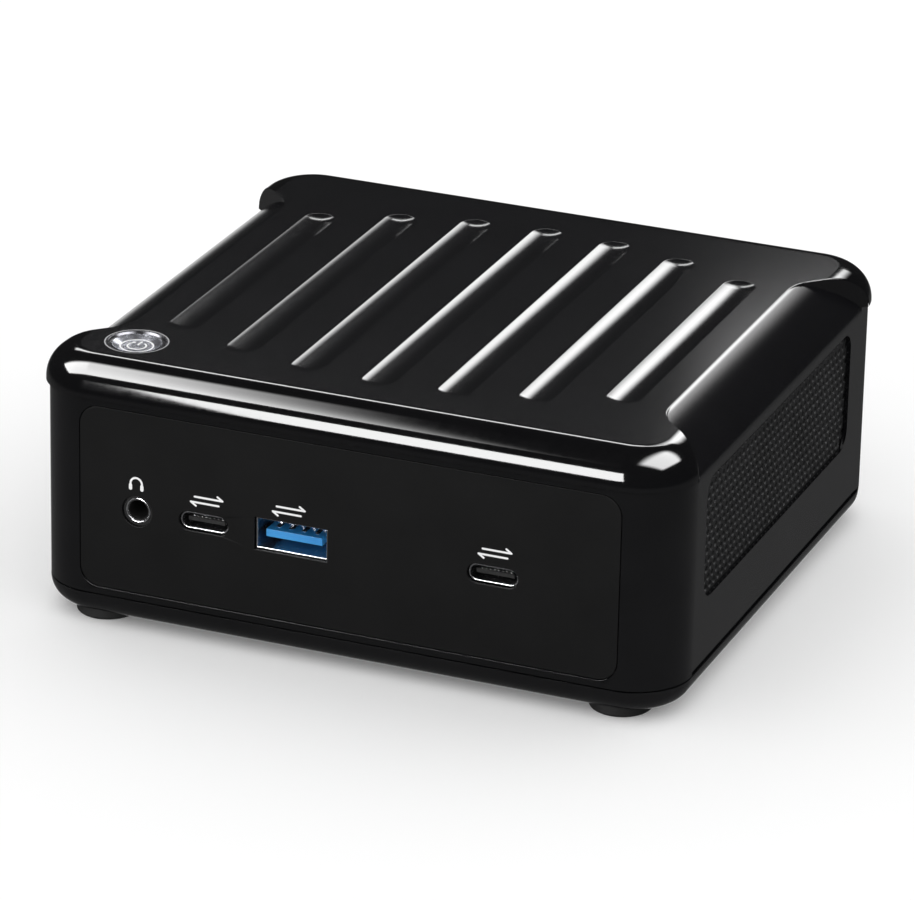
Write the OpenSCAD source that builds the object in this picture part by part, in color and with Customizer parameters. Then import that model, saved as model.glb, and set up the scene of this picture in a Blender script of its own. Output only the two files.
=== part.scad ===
// Compact desktop computer, about four by four inches, with a ribbed top cover.
// Frame: origin on the resting surface under the middle of the case, +Z up, the front panel faces -Y.
// Lengths are in millimetres.

/* [Case] */
// Width over the top cover's bands
case_w = 117.5; // [117:0.5:118]
// Depth over the top cover's bands
case_d = 108.2; // [108:0.1:108.6]
// Height of the flat top above the surface
case_h = 47.85; // [47.5:0.05:48.2]
// Radius of the top cover's upright corners
band_r = 11; // [10:0.5:12]
// Radius of the top cover's upper edge
edge_r = 6; // [5:0.5:6]
// How far the bands stand out beyond the bezels
overhang = 0.6; // [0.4:0.1:0.8]
// Wall thickness of the shells
wall = 2; // [1.6:0.1:2.2]
// Height of the joint under the top cover's bands
top_seam_z = 41.6; // [41:0.1:42]
// Height of the joint over the bottom cover
bottom_seam_z = 6; // [5.6:0.1:6.4]
// Underside of the bottom cover
base_z = 1.3; // [1:0.1:1.5]
// Radius of the bottom cover's lower edge
base_edge_r = 4.3; // [3.5:0.1:4.5]

/* [Top pattern] */
// Number of channels in the top
channel_count = 7; // [3:2:7]
// Distance from one channel to the next
channel_pitch = 13.3; // [12:0.1:13.5]
// Width of a channel
channel_w = 5.8; // [5:0.1:6.4]
// Depth of a channel
channel_depth = 0.6; // [0.4:0.1:0.9]
// Radius of the two arcs that the channels' ends lie on
channel_end_arc = 85; // [80:1:95]
// Half the length of the middle channel
channel_half = 41.3; // [38:0.1:41.5]
// Middle of the channels, behind the case's middle
channel_mid_y = -1.3; // [-2:0.1:0]
// Distance from the middle to the crease where each side falls away
crease_x = 48.3; // [48:0.1:48.6]
// Slope of the top just outside the crease, in degrees
crease_slope = 19.5; // [18:0.5:20]
// Radius over which the slope steepens
slope_r = 24; // [22:1:28]
// Radius that turns the slope into the side
shoulder_r = 3.5; // [3:0.1:4]
// Radius of the two ends of the side's recess
recess_end_r = 9; // [8:0.5:10]

/* [Side mesh] */
// Front end of the mesh window
mesh_front_y = -37.6; // [-38:0.1:-36]
// Rear end of the mesh window
mesh_rear_y = 37; // [35:0.1:38]
// Lower edge of the mesh window
mesh_low_z = 17.2; // [17:0.1:19]
// Upper edge of the mesh window
mesh_high_z = 39.1; // [37:0.1:39.5]

/* [Power button] */
// Sideways place of the button
button_x = -44; // [-44.5:0.1:-43.5]
// Front to back place of the button
button_y = -40.8; // [-41.2:0.1:-40.4]
// Radius of the button's cap
button_r = 4.25; // [4:0.05:4.4]
// Radius of the ring round the cap
ring_r = 5.65; // [5.5:0.05:5.8]
// How far the button travels
button_travel = 0.5; // [0.3:0.05:0.6]

/* [Front ports] */
// Half width of the panel sheet
panel_half_w = 48.65; // [48:0.1:49]
// Lower edge of the panel sheet
panel_low_z = 7.4; // [7.2:0.1:8]
// Upper edge of the panel sheet
panel_high_z = 40.3; // [40:0.1:40.6]
// Height of the ports' middle line
port_z = 22.4; // [22.2:0.1:22.6]
// Sideways place of the audio jack
audio_x = -38.1; // [-38.5:0.1:-37.5]
// Sideways place of the left small port
usb_c_left_x = -25.8; // [-26:0.1:-25]
// Sideways place of the wide port
usb_a_x = -9.85; // [-11:0.05:-9]
// Sideways place of the right small port
usb_c_right_x = 26.4; // [25:0.1:28]

/* [Mainboard] */
// Side of the square board
board_side = 101.6; // [101:0.1:102]
// Thickness of the board
board_t = 1.6; // [1.4:0.1:1.6]

/* [Hidden] */
half_w = case_w / 2;
half_d = case_d / 2;
bezel_w = case_w - 2 * overhang;
bezel_d = case_d - 2 * overhang;
bezel_r = band_r - 0.55;
bezel_face_y = -bezel_d / 2;
side_x = half_w - 0.95;
side_inner_x = side_x - wall;
side_front_y = -43;
side_rear_y = 45.9;
roof_z = case_h - 2.2;
shoulder_x = side_x - shoulder_r;
slope_x = crease_x - slope_r * sin(crease_slope);
slope_z = case_h - slope_r * cos(crease_slope);
slope_turn = asin((shoulder_x - slope_x) / (slope_r - shoulder_r));
shoulder_z = slope_z + (slope_r - shoulder_r) * cos(slope_turn);
recess_front_y = -30.5;
recess_rear_y = 29;
channel_r = (pow(channel_w / 2, 2) + pow(channel_depth, 2)) / (2 * channel_depth);
board_top_z = port_z - 3.5;
board_z = board_top_z - board_t;
frame_low_z = bottom_seam_z + 0.2;
foot_x = 47;
foot_y = 46;
foot_r = 5.5;
foot_edge_r = 0.6;
foot_top_z = base_z + 0.9;
hook_x = 42;
boss_x = 53;
boss_y = 40.5;
cover_screw_y = 34;
cover_screw_r = 1.25;
drive_w = 69.85;
drive_l = 100;
drive_h = 7;
drive_z = 3.6;
drive_hole_ys = [-36, 30];
tray_tab_ys = [-25, 20];
tray_screw_x = 40;
cpu_x = 14;
cpu_y = -6;
fan_x = 1;
fan_y = -6;
fan_r = 25;
fan_low_z = 33;
fan_high_z = 41.2;
fin_low_z = 33;
fin_high_z = 41.2;
fin_mid_z = (fin_low_z + fin_high_z) / 2;
switch_board_z = 37.3;
switch_posts = [[button_x - 1, button_y + 9], [button_x + 12, button_y]];
fit = 0.05;
skin = 0.02;

// ---- shared shapes ----

// Rectangle with round corners, centred.
module round_rect(w, d, r) {
    square([w - 2 * r, d], center = true);
    square([w, d - 2 * r], center = true);
    for (sx = [-1, 1], sy = [-1, 1]) translate([sx * (w / 2 - r), sy * (d / 2 - r)]) circle(r, $fn = 48);
}

// Half profile whose upper outer corner is a quarter circle.
module shoulder(reach, h, e) {
    square([reach, h - e]);
    square([reach - e, h]);
    translate([reach - e, h - e]) intersection() {
        circle(e, $fn = 64);
        square(e);
    }
}

// Block with round upright corners and a round upper edge, standing on z = 0.
module cushion(w, d, h, r, e) {
    for (s = [0, 1]) {
        rotate([90, 0, 90 + 180 * s]) translate([0, 0, r - w / 2]) linear_extrude(w - 2 * r)
            shoulder(d / 2, h, e);
        rotate([90, 0, 180 * s]) translate([0, 0, r - d / 2]) linear_extrude(d - 2 * r)
            shoulder(w / 2, h, e);
    }
    for (q = [0 : 3]) {
        sx = (q == 0 || q == 3) ? 1 : -1;
        sy = (q < 2) ? 1 : -1;
        translate([sx * (w / 2 - r), sy * (d / 2 - r), 0]) rotate([0, 0, 90 * q])
            rotate_extrude(angle = 90, $fn = 96) shoulder(r, h, e);
    }
}

// Box given by its lowest and highest corners.
module span(low, high) {
    translate(low) cube(high - low);
}

// Upright rod from one height to another.
module rod(x, y, low, high, r) {
    translate([x, y, low]) cylinder(h = high - low, r = r, $fn = 48);
}

// Rod along Y from one depth to another.
module rod_y(x, z, low, high, r) {
    translate([x, high, z]) rotate([90, 0, 0]) cylinder(h = high - low, r = r, $fn = 48);
}

// Outline in the XZ plane drawn out along Y.
module along_y(low, high) {
    translate([0, high, 0]) rotate([90, 0, 0]) linear_extrude(high - low) children();
}

// Outline in the YZ plane drawn out along X.
module along_x(low, high) {
    translate([low, 0, 0]) rotate([90, 0, 90]) linear_extrude(high - low) children();
}

// Screw whose head is below and whose shank points up.
module screw_up(x, y, head_z, head_r, head_h, shank_r, shank_h) {
    difference() {
        union() {
            rod(x, y, head_z, head_z + head_h, head_r);
            rod(x, y, head_z + head_h - skin, head_z + head_h + shank_h, shank_r);
        }
        translate([x, y, head_z - skin]) cylinder(h = head_h * 0.6, r = head_r * 0.45, $fn = 6);
    }
}

// Screw whose head is above and whose shank points down.
module screw_down(x, y, seat_z, head_r, head_h, shank_r, shank_h) {
    translate([x, y, seat_z]) mirror([0, 0, 1])
        screw_up(0, 0, -head_h, head_r, head_h, shank_r, shank_h);
}

// ---- shells ----

// Half width of the channel at a given distance from the middle.
function channel_reach(x) = channel_half - channel_end_arc + sqrt(pow(channel_end_arc, 2) - x * x);

// One concave channel with round ends, as the shape that is cut away.
module channel(x) {
    reach = channel_reach(x) - channel_w / 2;
    z = case_h - channel_depth + channel_r;
    rod_y(x, z, channel_mid_y - reach, channel_mid_y + reach, channel_r);
    for (s = [-1, 1]) translate([x, channel_mid_y + s * reach, z]) sphere(channel_r, $fn = 64);
}

// What is cut from one upper side: all that lies above the slope and the shoulder.
// Each end turns through half a right angle on a round corner, then runs straight out.
end_turn_x = recess_end_r * (1 - cos(45));
end_turn_y = recess_end_r * sin(45);

module side_recess() {
    intersection() {
        along_y(-half_d, half_d) difference() {
            translate([crease_x, shoulder_z]) square([half_w, half_d]);
            translate([shoulder_x, shoulder_z]) circle(shoulder_r, $fn = 64);
            intersection() {
                translate([slope_x, slope_z]) circle(slope_r, $fn = 96);
                polygon([
                    [slope_x, slope_z],
                    [slope_x + 2 * slope_r * sin(slope_turn), slope_z + 2 * slope_r * cos(slope_turn)],
                    [slope_x, slope_z + 2 * slope_r]
                ]);
            }
        }
        translate([0, 0, top_seam_z - 2]) linear_extrude(20) {
            polygon([
                [crease_x, recess_front_y], [crease_x, recess_rear_y],
                [crease_x + end_turn_x, recess_rear_y + end_turn_y],
                [crease_x + end_turn_x + 20, recess_rear_y + end_turn_y + 20],
                [crease_x + end_turn_x + 20, recess_front_y - end_turn_y - 20],
                [crease_x + end_turn_x, recess_front_y - end_turn_y]
            ]);
            for (y = [recess_front_y, recess_rear_y])
                translate([crease_x + recess_end_r, y]) circle(recess_end_r, $fn = 96);
        }
    }
}

// The room inside the shells.
module case_hollow() {
    inner_y = half_d - wall;
    intersection() {
        along_y(-half_d, half_d) polygon([
            [-side_inner_x, -1], [side_inner_x, -1], [side_inner_x, shoulder_z - 0.8],
            [side_inner_x - 1.8, shoulder_z + 2], [crease_x - 0.7, roof_z],
            [0.7 - crease_x, roof_z], [1.8 - side_inner_x, shoulder_z + 2],
            [-side_inner_x, shoulder_z - 0.8]
        ]);
        along_x(-half_w, half_w) polygon([
            [-inner_y, -1], [inner_y, -1], [inner_y, top_seam_z + 1],
            [inner_y - 2.8, roof_z], [2.8 - inner_y, roof_z], [-inner_y, top_seam_z + 1]
        ]);
        translate([0, 0, -1]) linear_extrude(case_h) round_rect(2 * side_inner_x, 2 * inner_y, 9);
    }
}

// Outline of the mesh window in the YZ plane, grown by a margin.
module mesh_outline(grow) {
    translate([(mesh_front_y + mesh_rear_y) / 2, (mesh_low_z + mesh_high_z) / 2])
        round_rect(mesh_rear_y - mesh_front_y + 2 * grow, mesh_high_z - mesh_low_z + 2 * grow, 3.5);
}

module top_cover() color([0.03, 0.03, 0.035]) {
    difference() {
        union() {
            translate([0, 0, top_seam_z]) cushion(case_w, case_d, case_h - top_seam_z, band_r, edge_r);
            for (s = [-1, 1]) scale([s, 1, 1])
                span([side_inner_x, side_front_y, bottom_seam_z], [side_x, side_rear_y, top_seam_z]);
        }
        for (s = [0, 1]) mirror([s, 0, 0]) side_recess();
        case_hollow();
        for (i = [0 : channel_count - 1]) channel((i - (channel_count - 1) / 2) * channel_pitch);
        for (s = [0, 1]) mirror([s, 0, 0]) {
            along_x(side_inner_x - 1, side_x + 1) mesh_outline(0);
            along_x(side_inner_x - 1, side_x - 0.8) mesh_outline(1.2);
        }
        rod(button_x, button_y, roof_z - 1, case_h + 1, ring_r - 0.8);
        rod(button_x, button_y, case_h - 1.2, case_h + 1, ring_r);
    }
    // Screw posts that hang from the roof, one near each corner.
    for (sx = [-1, 1], sy = [-1, 1]) difference() {
        rod(sx * boss_x, sy * boss_y, board_z, shoulder_z + 1.8, 2.4);
        rod(sx * boss_x, sy * boss_y, board_z - 1, board_z + 9, 1);
    }
    // Posts that carry the switch board.
    for (p = switch_posts) difference() {
        rod(p[0], p[1], switch_board_z + 1, roof_z + skin, 1.8);
        rod(p[0], p[1], switch_board_z, switch_board_z + 5, 0.8);
    }
}

// Wall that runs round one end of the case, from the side's joint to the corner and across.
module bezel_wall(low_y, high_y) {
    translate([0, 0, bottom_seam_z]) linear_extrude(top_seam_z - bottom_seam_z) intersection() {
        difference() {
            round_rect(bezel_w, bezel_d, bezel_r);
            round_rect(bezel_w - 2 * wall, bezel_d - 2 * wall, bezel_r - wall);
        }
        translate([-half_w, low_y]) square([case_w, high_y - low_y]);
    }
}

// Outline of the front panel sheet in the XZ plane, grown by a margin.
module panel_outline(grow) {
    translate([0, (panel_low_z + panel_high_z) / 2])
        round_rect(2 * (panel_half_w + grow), panel_high_z - panel_low_z + 2 * grow, 3.5 + grow);
}

// Slot with round ends in the XZ plane.
module slot(x, z, w, h) {
    translate([x, z]) round_rect(w, h, h / 2 - 0.01);
}

// Openings for the front ports in the XZ plane.
module front_openings(grow) {
    translate([audio_x, port_z]) circle(2.9 + grow, $fn = 48);
    slot(usb_c_left_x, port_z, 9.3 + 2 * grow, 3.7 + 2 * grow);
    slot(usb_c_right_x, port_z, 9.3 + 2 * grow, 3.7 + 2 * grow);
    translate([usb_a_x, port_z]) square([13.5 + 2 * grow, 6.1 + 2 * grow], center = true);
}

// Hook on a bezel's inside.
module bezel_hook(x, low_y, high_y) {
    span([x - 3, low_y, 8], [x + 3, high_y, 9.4]);
}

module front_bezel() color([0.02, 0.02, 0.022]) {
    difference() {
        bezel_wall(-half_d, side_front_y);
        along_y(bezel_face_y - 1, bezel_face_y + 0.6) panel_outline(0.15);
        along_y(bezel_face_y - 1, bezel_face_y + 5) front_openings(0);
    }
    // Hooks that catch under the inner frame's front beam.
    for (s = [-1, 1])
        bezel_hook(s * hook_x, bezel_face_y + wall - skin, bezel_face_y + wall + 2.6);
}

module front_panel() color([0.1, 0.1, 0.1]) difference() {
    along_y(bezel_face_y + 0.05, bezel_face_y + 0.6) panel_outline(0);
    along_y(bezel_face_y - 1, bezel_face_y + 5) front_openings(-0.1);
}

module rear_bezel() color([0.02, 0.02, 0.022]) {
    difference() {
        bezel_wall(side_rear_y, half_d);
        span([-io_half_w, 50, board_z + 1], [io_half_w, 55, 40]);
    }
    for (s = [-1, 1])
        bezel_hook(s * hook_x, bezel_d / 2 - wall - 2.6, bezel_d / 2 - wall + skin);
}

module rear_io_plate() color([0.13, 0.13, 0.135]) difference() {
    along_y(bezel_d / 2 - wall - 0.6, bezel_d / 2 - wall) translate([0, board_z + 12])
        round_rect(2 * io_half_w + 1.6, 23.5, 1);
    along_y(48, 55) {
        for (i = [-8 : 8]) translate([3.2 * i, fin_mid_z]) square([1.8, 5], center = true);
        for (p = rear_ports) translate([p[0], p[1]]) square([p[2] + 0.3, p[3] + 0.3], center = true);
    }
}

// Rear ports: sideways place, height of the middle, width and height of the body.
rear_ports = [
    [41.5, board_top_z + 5.5, 9, 11],
    [27.5, board_top_z + 3.2, 15, 6.2],
    [10.5, board_top_z + 3.2, 15, 6.2],
    [-7, board_top_z + 6.75, 16, 13.5],
    [-24.2, board_top_z + 6.75, 16, 13.5],
    [-39.9, board_top_z + 7.8, 13.2, 15.6]
];
rear_face_y = bezel_d / 2 - 1;
io_half_w = 46.9;

// Perforated sheet behind one window, drawn without its small holes.
module side_mesh(s) color([0.05, 0.05, 0.05]) mirror([s < 0 ? 1 : 0, 0, 0])
    along_x(side_x - 1.6, side_x - 0.8) mesh_outline(1.15);

module inner_frame() color([0.12, 0.12, 0.13]) {
    difference() {
        union() {
            // Ring round the board's edge, up to the board.
            translate([0, 0, frame_low_z]) linear_extrude(board_z - frame_low_z) difference() {
                round_rect(2 * side_inner_x - 0.1, 102.6, 8);
                round_rect(2 * side_inner_x - 2.7, 100, 6.8);
            }
            // Corner columns for the cover screws and for the shell screws.
            for (sx = [-1, 1], y = [-boss_y, -cover_screw_y, cover_screw_y, boss_y])
                rod(sx * boss_x, y, frame_low_z, board_z, 2.7);
            // Posts under the board's own screws.
            for (p = board_holes) rod(p[0], p[1], 11.5, board_z, 2.6);
            for (p = board_holes) {
                edge = sign(p[0]) * 55;
                span([min(p[0], edge), p[1] - 1, 12], [max(p[0], edge), p[1] + 1, board_z]);
            }
            // Ledges that the drive tray hangs from.
            for (sx = [-1, 1], y = tray_tab_ys)
                span([min(sx * 38, sx * 55), y - 4, 11.2], [max(sx * 38, sx * 55), y + 4, 12.6]);
        }
        for (sx = [-1, 1], sy = [-1, 1]) {
            rod(sx * boss_x, sy * cover_screw_y, bottom_seam_z - 1, 13.5, cover_screw_r + fit);
            rod(sx * boss_x, sy * boss_y, bottom_seam_z - 1, board_z - 2, 2.1);
            rod(sx * boss_x, sy * boss_y, board_z - 3, board_z + 1, 1.1);
        }
        for (p = board_holes) rod(p[0], p[1], 13, board_z + 1, 0.95);
        for (sx = [-1, 1], y = tray_tab_ys) rod(sx * tray_screw_x, y, 11, 13, 1);
        // Notches for the bezels' hooks.
        for (sx = [-1, 1], sy = [-1, 1])
            span([sx * hook_x - 3.1, sy * 51 - 3, 7.9], [sx * hook_x + 3.1, sy * 51 + 3, 9.5]);
    }
}

module shell_screws() color("silver") for (sx = [-1, 1], sy = [-1, 1])
    screw_up(sx * boss_x, sy * boss_y, board_z - 3.5, 1.9, 1.5, 0.98, 7.5);

// ---- bottom cover and what comes away with it ----

module bottom_cover() color([0.03, 0.03, 0.03]) {
    rim_z = bottom_seam_z - 0.25;
    floor_z = base_z + 1.5;
    difference() {
        translate([0, 0, rim_z]) mirror([0, 0, 1])
            cushion(bezel_w, bezel_d, rim_z - base_z, bezel_r, base_edge_r);
        intersection() {
            translate([0, 0, floor_z]) linear_extrude(10)
                round_rect(bezel_w - 2 * wall, bezel_d - 2 * wall, bezel_r - wall);
            translate([0, 0, floor_z]) union() {
                translate([0, 0, 2.2]) linear_extrude(10) round_rect(bezel_w, bezel_d, bezel_r);
                linear_extrude(10) round_rect(bezel_w - 7, bezel_d - 7, bezel_r - 3);
            }
        }
        for (sx = [-1, 1], sy = [-1, 1]) {
            rod(sx * foot_x, sy * foot_y, base_z - 1, foot_top_z, foot_r);
            rod(sx * boss_x, sy * cover_screw_y, base_z - 1, 10, cover_screw_r + 0.15);
            rod(sx * boss_x, sy * cover_screw_y, base_z - 1, floor_z, 2.3);
        }
        for (sx = [-1, 1]) rod(sx * 45, 0, base_z - 1, base_z + 10, 1.25);
        // Air slots.
        for (i = [-3 : 3], sx = [-1, 1])
            translate([sx * 20, i * 6, 0]) linear_extrude(5) round_rect(22, 2, 0.99);
    }
    for (sx = [-1, 1]) {
        // Bosses for a wall bracket's screws.
        difference() {
            rod(sx * 45, 0, base_z + 1, base_z + 4, 2.6);
            rod(sx * 45, 0, base_z - 1, base_z + 10, 1.25);
        }
        // Collars under the cover screws' heads.
        for (sy = [-1, 1]) difference() {
            rod(sx * boss_x, sy * cover_screw_y, floor_z, bottom_seam_z, 2.9);
            rod(sx * boss_x, sy * cover_screw_y, base_z, 10, cover_screw_r + 0.15);
        }
    }
}

module feet() color([0.02, 0.02, 0.02]) for (sx = [-1, 1], sy = [-1, 1])
    translate([sx * foot_x, sy * foot_y, 0]) rotate_extrude($fn = 64) intersection() {
        union() {
            square([foot_r - foot_edge_r, foot_top_z]);
            translate([0, foot_edge_r]) square([foot_r - fit, foot_top_z - foot_edge_r]);
            translate([foot_r - foot_edge_r - fit, foot_edge_r]) circle(foot_edge_r, $fn = 32);
        }
        square([foot_r, foot_top_z]);
    }

module cover_screws() color("dimgray") for (sx = [-1, 1], sy = [-1, 1])
    screw_up(sx * boss_x, sy * cover_screw_y, base_z + 0.1, 2.2, 1.4, cover_screw_r, 9.5);

// ---- power button ----

// The cap's flat middle: its radius and its height.
cap_middle_r = 3;
cap_middle_z = case_h - 0.9;

module power_button() color([0.12, 0.12, 0.13]) difference() {
    union() {
        rod(button_x, button_y, roof_z - 0.4, case_h - 0.35, button_r);
        rod(button_x, button_y, roof_z - 1.6, roof_z - 0.7, button_r + 0.5);
        rod(button_x, button_y, 41.9, roof_z, 1.5);
    }
    // A cone leads down to the cap's flat middle.
    translate([button_x, button_y, 0]) rotate_extrude($fn = 96) polygon([
        [0, cap_middle_z], [cap_middle_r, cap_middle_z], [button_r - 0.1, case_h - 0.35],
        [button_r - 0.1, case_h + 1], [0, case_h + 1]
    ]);
}

module power_button_ring() color([0.3, 0.3, 0.31])
    translate([button_x, button_y, 0]) rotate_extrude($fn = 96) difference() {
        union() {
            translate([button_r + 0.08, case_h - 1.2]) square([ring_r - button_r - 0.08, 1.1]);
            translate([button_r + 0.08, roof_z - 0.68]) square([ring_r - 0.8 - button_r - 0.08, 1.8]);
        }
        // The inner edge slopes down to the cap.
        translate([button_r, case_h]) rotate(-30) square([1.2, 0.6], center = true);
    }

module switch_plunger() color("firebrick") rod(button_x, button_y, 40.4, 41.9, 1.5);

module power_switch() color([0.2, 0.2, 0.2]) difference() {
    span([button_x - 3, button_y - 3, switch_board_z + 1], [button_x + 3, button_y + 3, 41.3]);
    rod(button_x, button_y, 39.7, 42, 1.58);
}

// L-shaped board that carries the switch.
module switch_board() color("darkgreen") difference() {
    translate([button_x, button_y, switch_board_z]) span([-3.5, -3.5, 0], [14, 11, 1]);
    translate([button_x, button_y, switch_board_z]) span([4, 3.5, -1], [15, 12, 2]);
    for (p = switch_posts) rod(p[0], p[1], switch_board_z - 1, switch_board_z + 2, 1);
}

module switch_board_screws() color("silver") for (p = switch_posts)
    screw_up(p[0], p[1], switch_board_z - 1, 1.6, 1, 0.78, 4);

// ---- front ports ----

port_mouth_y = bezel_face_y + 0.7;

module audio_jack() color([0.08, 0.08, 0.085]) difference() {
    union() {
        rod_y(audio_x, port_z, port_mouth_y, port_mouth_y + 2.5, 2.8);
        span([audio_x - 3, port_mouth_y + 1.4, board_top_z], [audio_x + 3, port_mouth_y + 13, port_z + 2.6]);
    }
    rod_y(audio_x, port_z, port_mouth_y - 1, port_mouth_y + 12, 1.8);
}

module usb_c_shell(x) color("silver") along_y(port_mouth_y, port_mouth_y + 7.4) difference() {
    slot(x, port_z, 9, 3.2);
    slot(x, port_z, 8.34, 2.56);
}

module usb_c_tongue(x) color([0.05, 0.05, 0.05]) {
    span([x - 3.34, port_mouth_y + 0.8, port_z - 0.35], [x + 3.34, port_mouth_y + 6.4, port_z + 0.35]);
    along_y(port_mouth_y + 5.4, port_mouth_y + 7.4) slot(x, port_z, 8.3, 2.5);
}

module usb_a_shell() color("silver") along_y(port_mouth_y, port_mouth_y + 13.2) difference() {
    translate([usb_a_x, port_z]) square([13.2, 5.8], center = true);
    translate([usb_a_x, port_z]) square([12.5, 5.12], center = true);
}

module usb_a_tongue() color([0.16, 0.54, 0.85]) translate([usb_a_x, port_mouth_y, port_z]) {
    span([-5.1, 0.9, -0.85], [5.1, 10.4, 0.5]);
    span([-6.2, 10.4, -2.5], [6.2, 13.2, 2.5]);
}

// ---- rear ports ----

module hdmi_shells() color("silver") for (p = [rear_ports[1], rear_ports[2]])
    along_y(rear_face_y - 11, rear_face_y) translate([p[0], p[1]]) difference() {
        square([p[2], p[3] - 0.5], center = true);
        square([p[2] - 1, 4.55], center = true);
    }

module hdmi_tongues() color([0.05, 0.05, 0.05]) for (p = [rear_ports[1], rear_ports[2]]) {
    span([p[0] - 4.5, rear_face_y - 9, p[1] - 0.6], [p[0] + 4.5, rear_face_y - 1, p[1] + 0.6]);
    span([p[0] - 6.9, rear_face_y - 11, p[1] - 2.2], [p[0] + 6.9, rear_face_y - 9, p[1] + 2.2]);
}

module lan_sockets() color("silver") for (p = [rear_ports[3], rear_ports[4]]) difference() {
    span([p[0] - 8, rear_face_y - 21, board_top_z], [p[0] + 8, rear_face_y, board_top_z + 13.5]);
    span([p[0] - 5.9, rear_face_y - 14, p[1] - 4.6], [p[0] + 5.9, rear_face_y + 1, p[1] + 3.4]);
    span([p[0] - 3, rear_face_y - 10, p[1] + 3], [p[0] + 3, rear_face_y + 1, p[1] + 5]);
}

// Heights of the two stacked openings about the middle of their shell.
rear_usb_levels = [-3.9, 3.9];

module rear_usb_shell() color("silver") translate([rear_ports[5][0], rear_face_y, rear_ports[5][1]])
    difference() {
        span([-6.6, -17.5, -7.8], [6.6, 0, 7.8]);
        for (level = rear_usb_levels) span([-6.25, -13, level - 2.56], [6.25, 1, level + 2.56]);
    }

module rear_usb_tongues() color([0.16, 0.54, 0.85])
    translate([rear_ports[5][0], rear_face_y, rear_ports[5][1]])
        for (level = rear_usb_levels) span([-5.6, -13, level + 0.35], [5.6, -1, level + 2.2]);

module dc_jack() color([0.06, 0.06, 0.06]) difference() {
    p = rear_ports[0];
    span([p[0] - 4.5, rear_face_y - 14, board_top_z], [p[0] + 4.5, rear_face_y, board_top_z + 11]);
    rod_y(p[0], p[1] + 0.8, rear_face_y - 10, rear_face_y + 1, 3.15);
}

module dc_jack_pin() color("silver")
    rod_y(rear_ports[0][0], rear_ports[0][1] + 0.8, rear_face_y - 10, rear_face_y - 0.8, 1);

// ---- mainboard and what is on it ----

board_holes = [[-47, -46], [47, -46], [-47, 28], [47, 28]];
cooler_holes = [for (sx = [-1, 1], sy = [-1, 1]) [cpu_x + sx * 23, cpu_y + sy * 23]];

module mainboard() color("darkgreen") difference() {
    span([-board_side / 2, -board_side / 2, board_z], [board_side / 2, board_side / 2, board_top_z]);
    for (sx = [-1, 1], sy = [-1, 1]) rod(sx * boss_x, sy * boss_y, board_z - 1, board_top_z + 1, 2.9);
    for (p = board_holes) rod(p[0], p[1], board_z - 1, board_top_z + 1, 1.3);
    for (p = cooler_holes) rod(p[0], p[1], board_z - 1, board_top_z + 1, 1);
}

module board_screws() color("silver") for (p = board_holes)
    screw_down(p[0], p[1], board_top_z, 2.2, 1.5, 0.93, 5.5);

module cpu_package() color([0.1, 0.25, 0.12]) {
    span([cpu_x - 17.5, cpu_y - 12.5, board_top_z], [cpu_x + 17.5, cpu_y + 12.5, board_top_z + 1.2]);
    span([cpu_x - 8, cpu_y - 7, board_top_z + 1.2 - skin], [cpu_x + 8, cpu_y + 7, board_top_z + 1.7]);
}

pipe_z = board_top_z + 5.2;
pipe_xs = [cpu_x - 5, cpu_x + 9];
pipe_w = 8;
pipe_t = 3;

module cooler_base() color([0.72, 0.45, 0.3]) difference() {
    union() {
        span([cpu_x - 20, cpu_y - 20, board_top_z + 1.7], [cpu_x + 20, cpu_y + 20, pipe_z]);
        for (p = cooler_holes) rod(p[0], p[1], board_top_z + 1.7, board_top_z + 3, 3);
        for (p = cooler_holes)
            span([p[0] - 2, min(p[1], cpu_y), board_top_z + 1.7],
                 [p[0] + 2, max(p[1], cpu_y), board_top_z + 3]);
        span([cpu_x - 23, cpu_y - 4, board_top_z + 1.7], [cpu_x + 23, cpu_y + 4, board_top_z + 3]);
    }
    for (x = pipe_xs)
        span([x - pipe_w / 2, cpu_y - 21, pipe_z - pipe_t / 2], [x + pipe_w / 2, cpu_y + 21, pipe_z + 1]);
    for (p = cooler_holes) rod(p[0], p[1], board_top_z, board_top_z + 5, 1.1);
}

module cooler_screws() color("silver") for (p = cooler_holes)
    screw_down(p[0], p[1], board_top_z + 3, 1.9, 1.3, 0.95, 4.8);

pipe_rise = 12;
pipe_slope = 40;
pipe_bend_y = 25;
pipe_end_y = 50.5;

// Flattened heat pipe: along the base, up a ramp, and on through the fins.
module heat_pipe(x) {
    top_y = pipe_bend_y + pipe_rise / tan(pipe_slope);
    mitre = pipe_t / 2 * tan(pipe_slope / 2);
    low = pipe_z - pipe_t / 2;
    high = pipe_z + pipe_t / 2;
    along_x(x - pipe_w / 2, x + pipe_w / 2) polygon([
        [cpu_y - 19, low], [pipe_bend_y + mitre, low], [top_y + mitre, low + pipe_rise],
        [pipe_end_y, low + pipe_rise], [pipe_end_y, high + pipe_rise], [top_y - mitre, high + pipe_rise],
        [pipe_bend_y - mitre, high], [cpu_y - 19, high]
    ]);
}

module heat_pipes() color([0.72, 0.45, 0.3]) for (x = pipe_xs) heat_pipe(x);

module fin_stack() color("silver") difference() {
    union() {
        for (i = [-17 : 17]) span([1.6 * i - 0.2, 43.5, fin_low_z], [1.6 * i + 0.2, 50.5, fin_high_z]);
        for (z = [fin_low_z, fin_high_z - 0.4]) span([-27.4, 43.5, z], [27.4, 50.5, z + 0.4]);
    }
    for (x = pipe_xs) translate([x, 0, pipe_z + pipe_rise])
        span([-pipe_w / 2, 40, -pipe_t / 2], [pipe_w / 2, 52, pipe_t / 2]);
}

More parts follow.
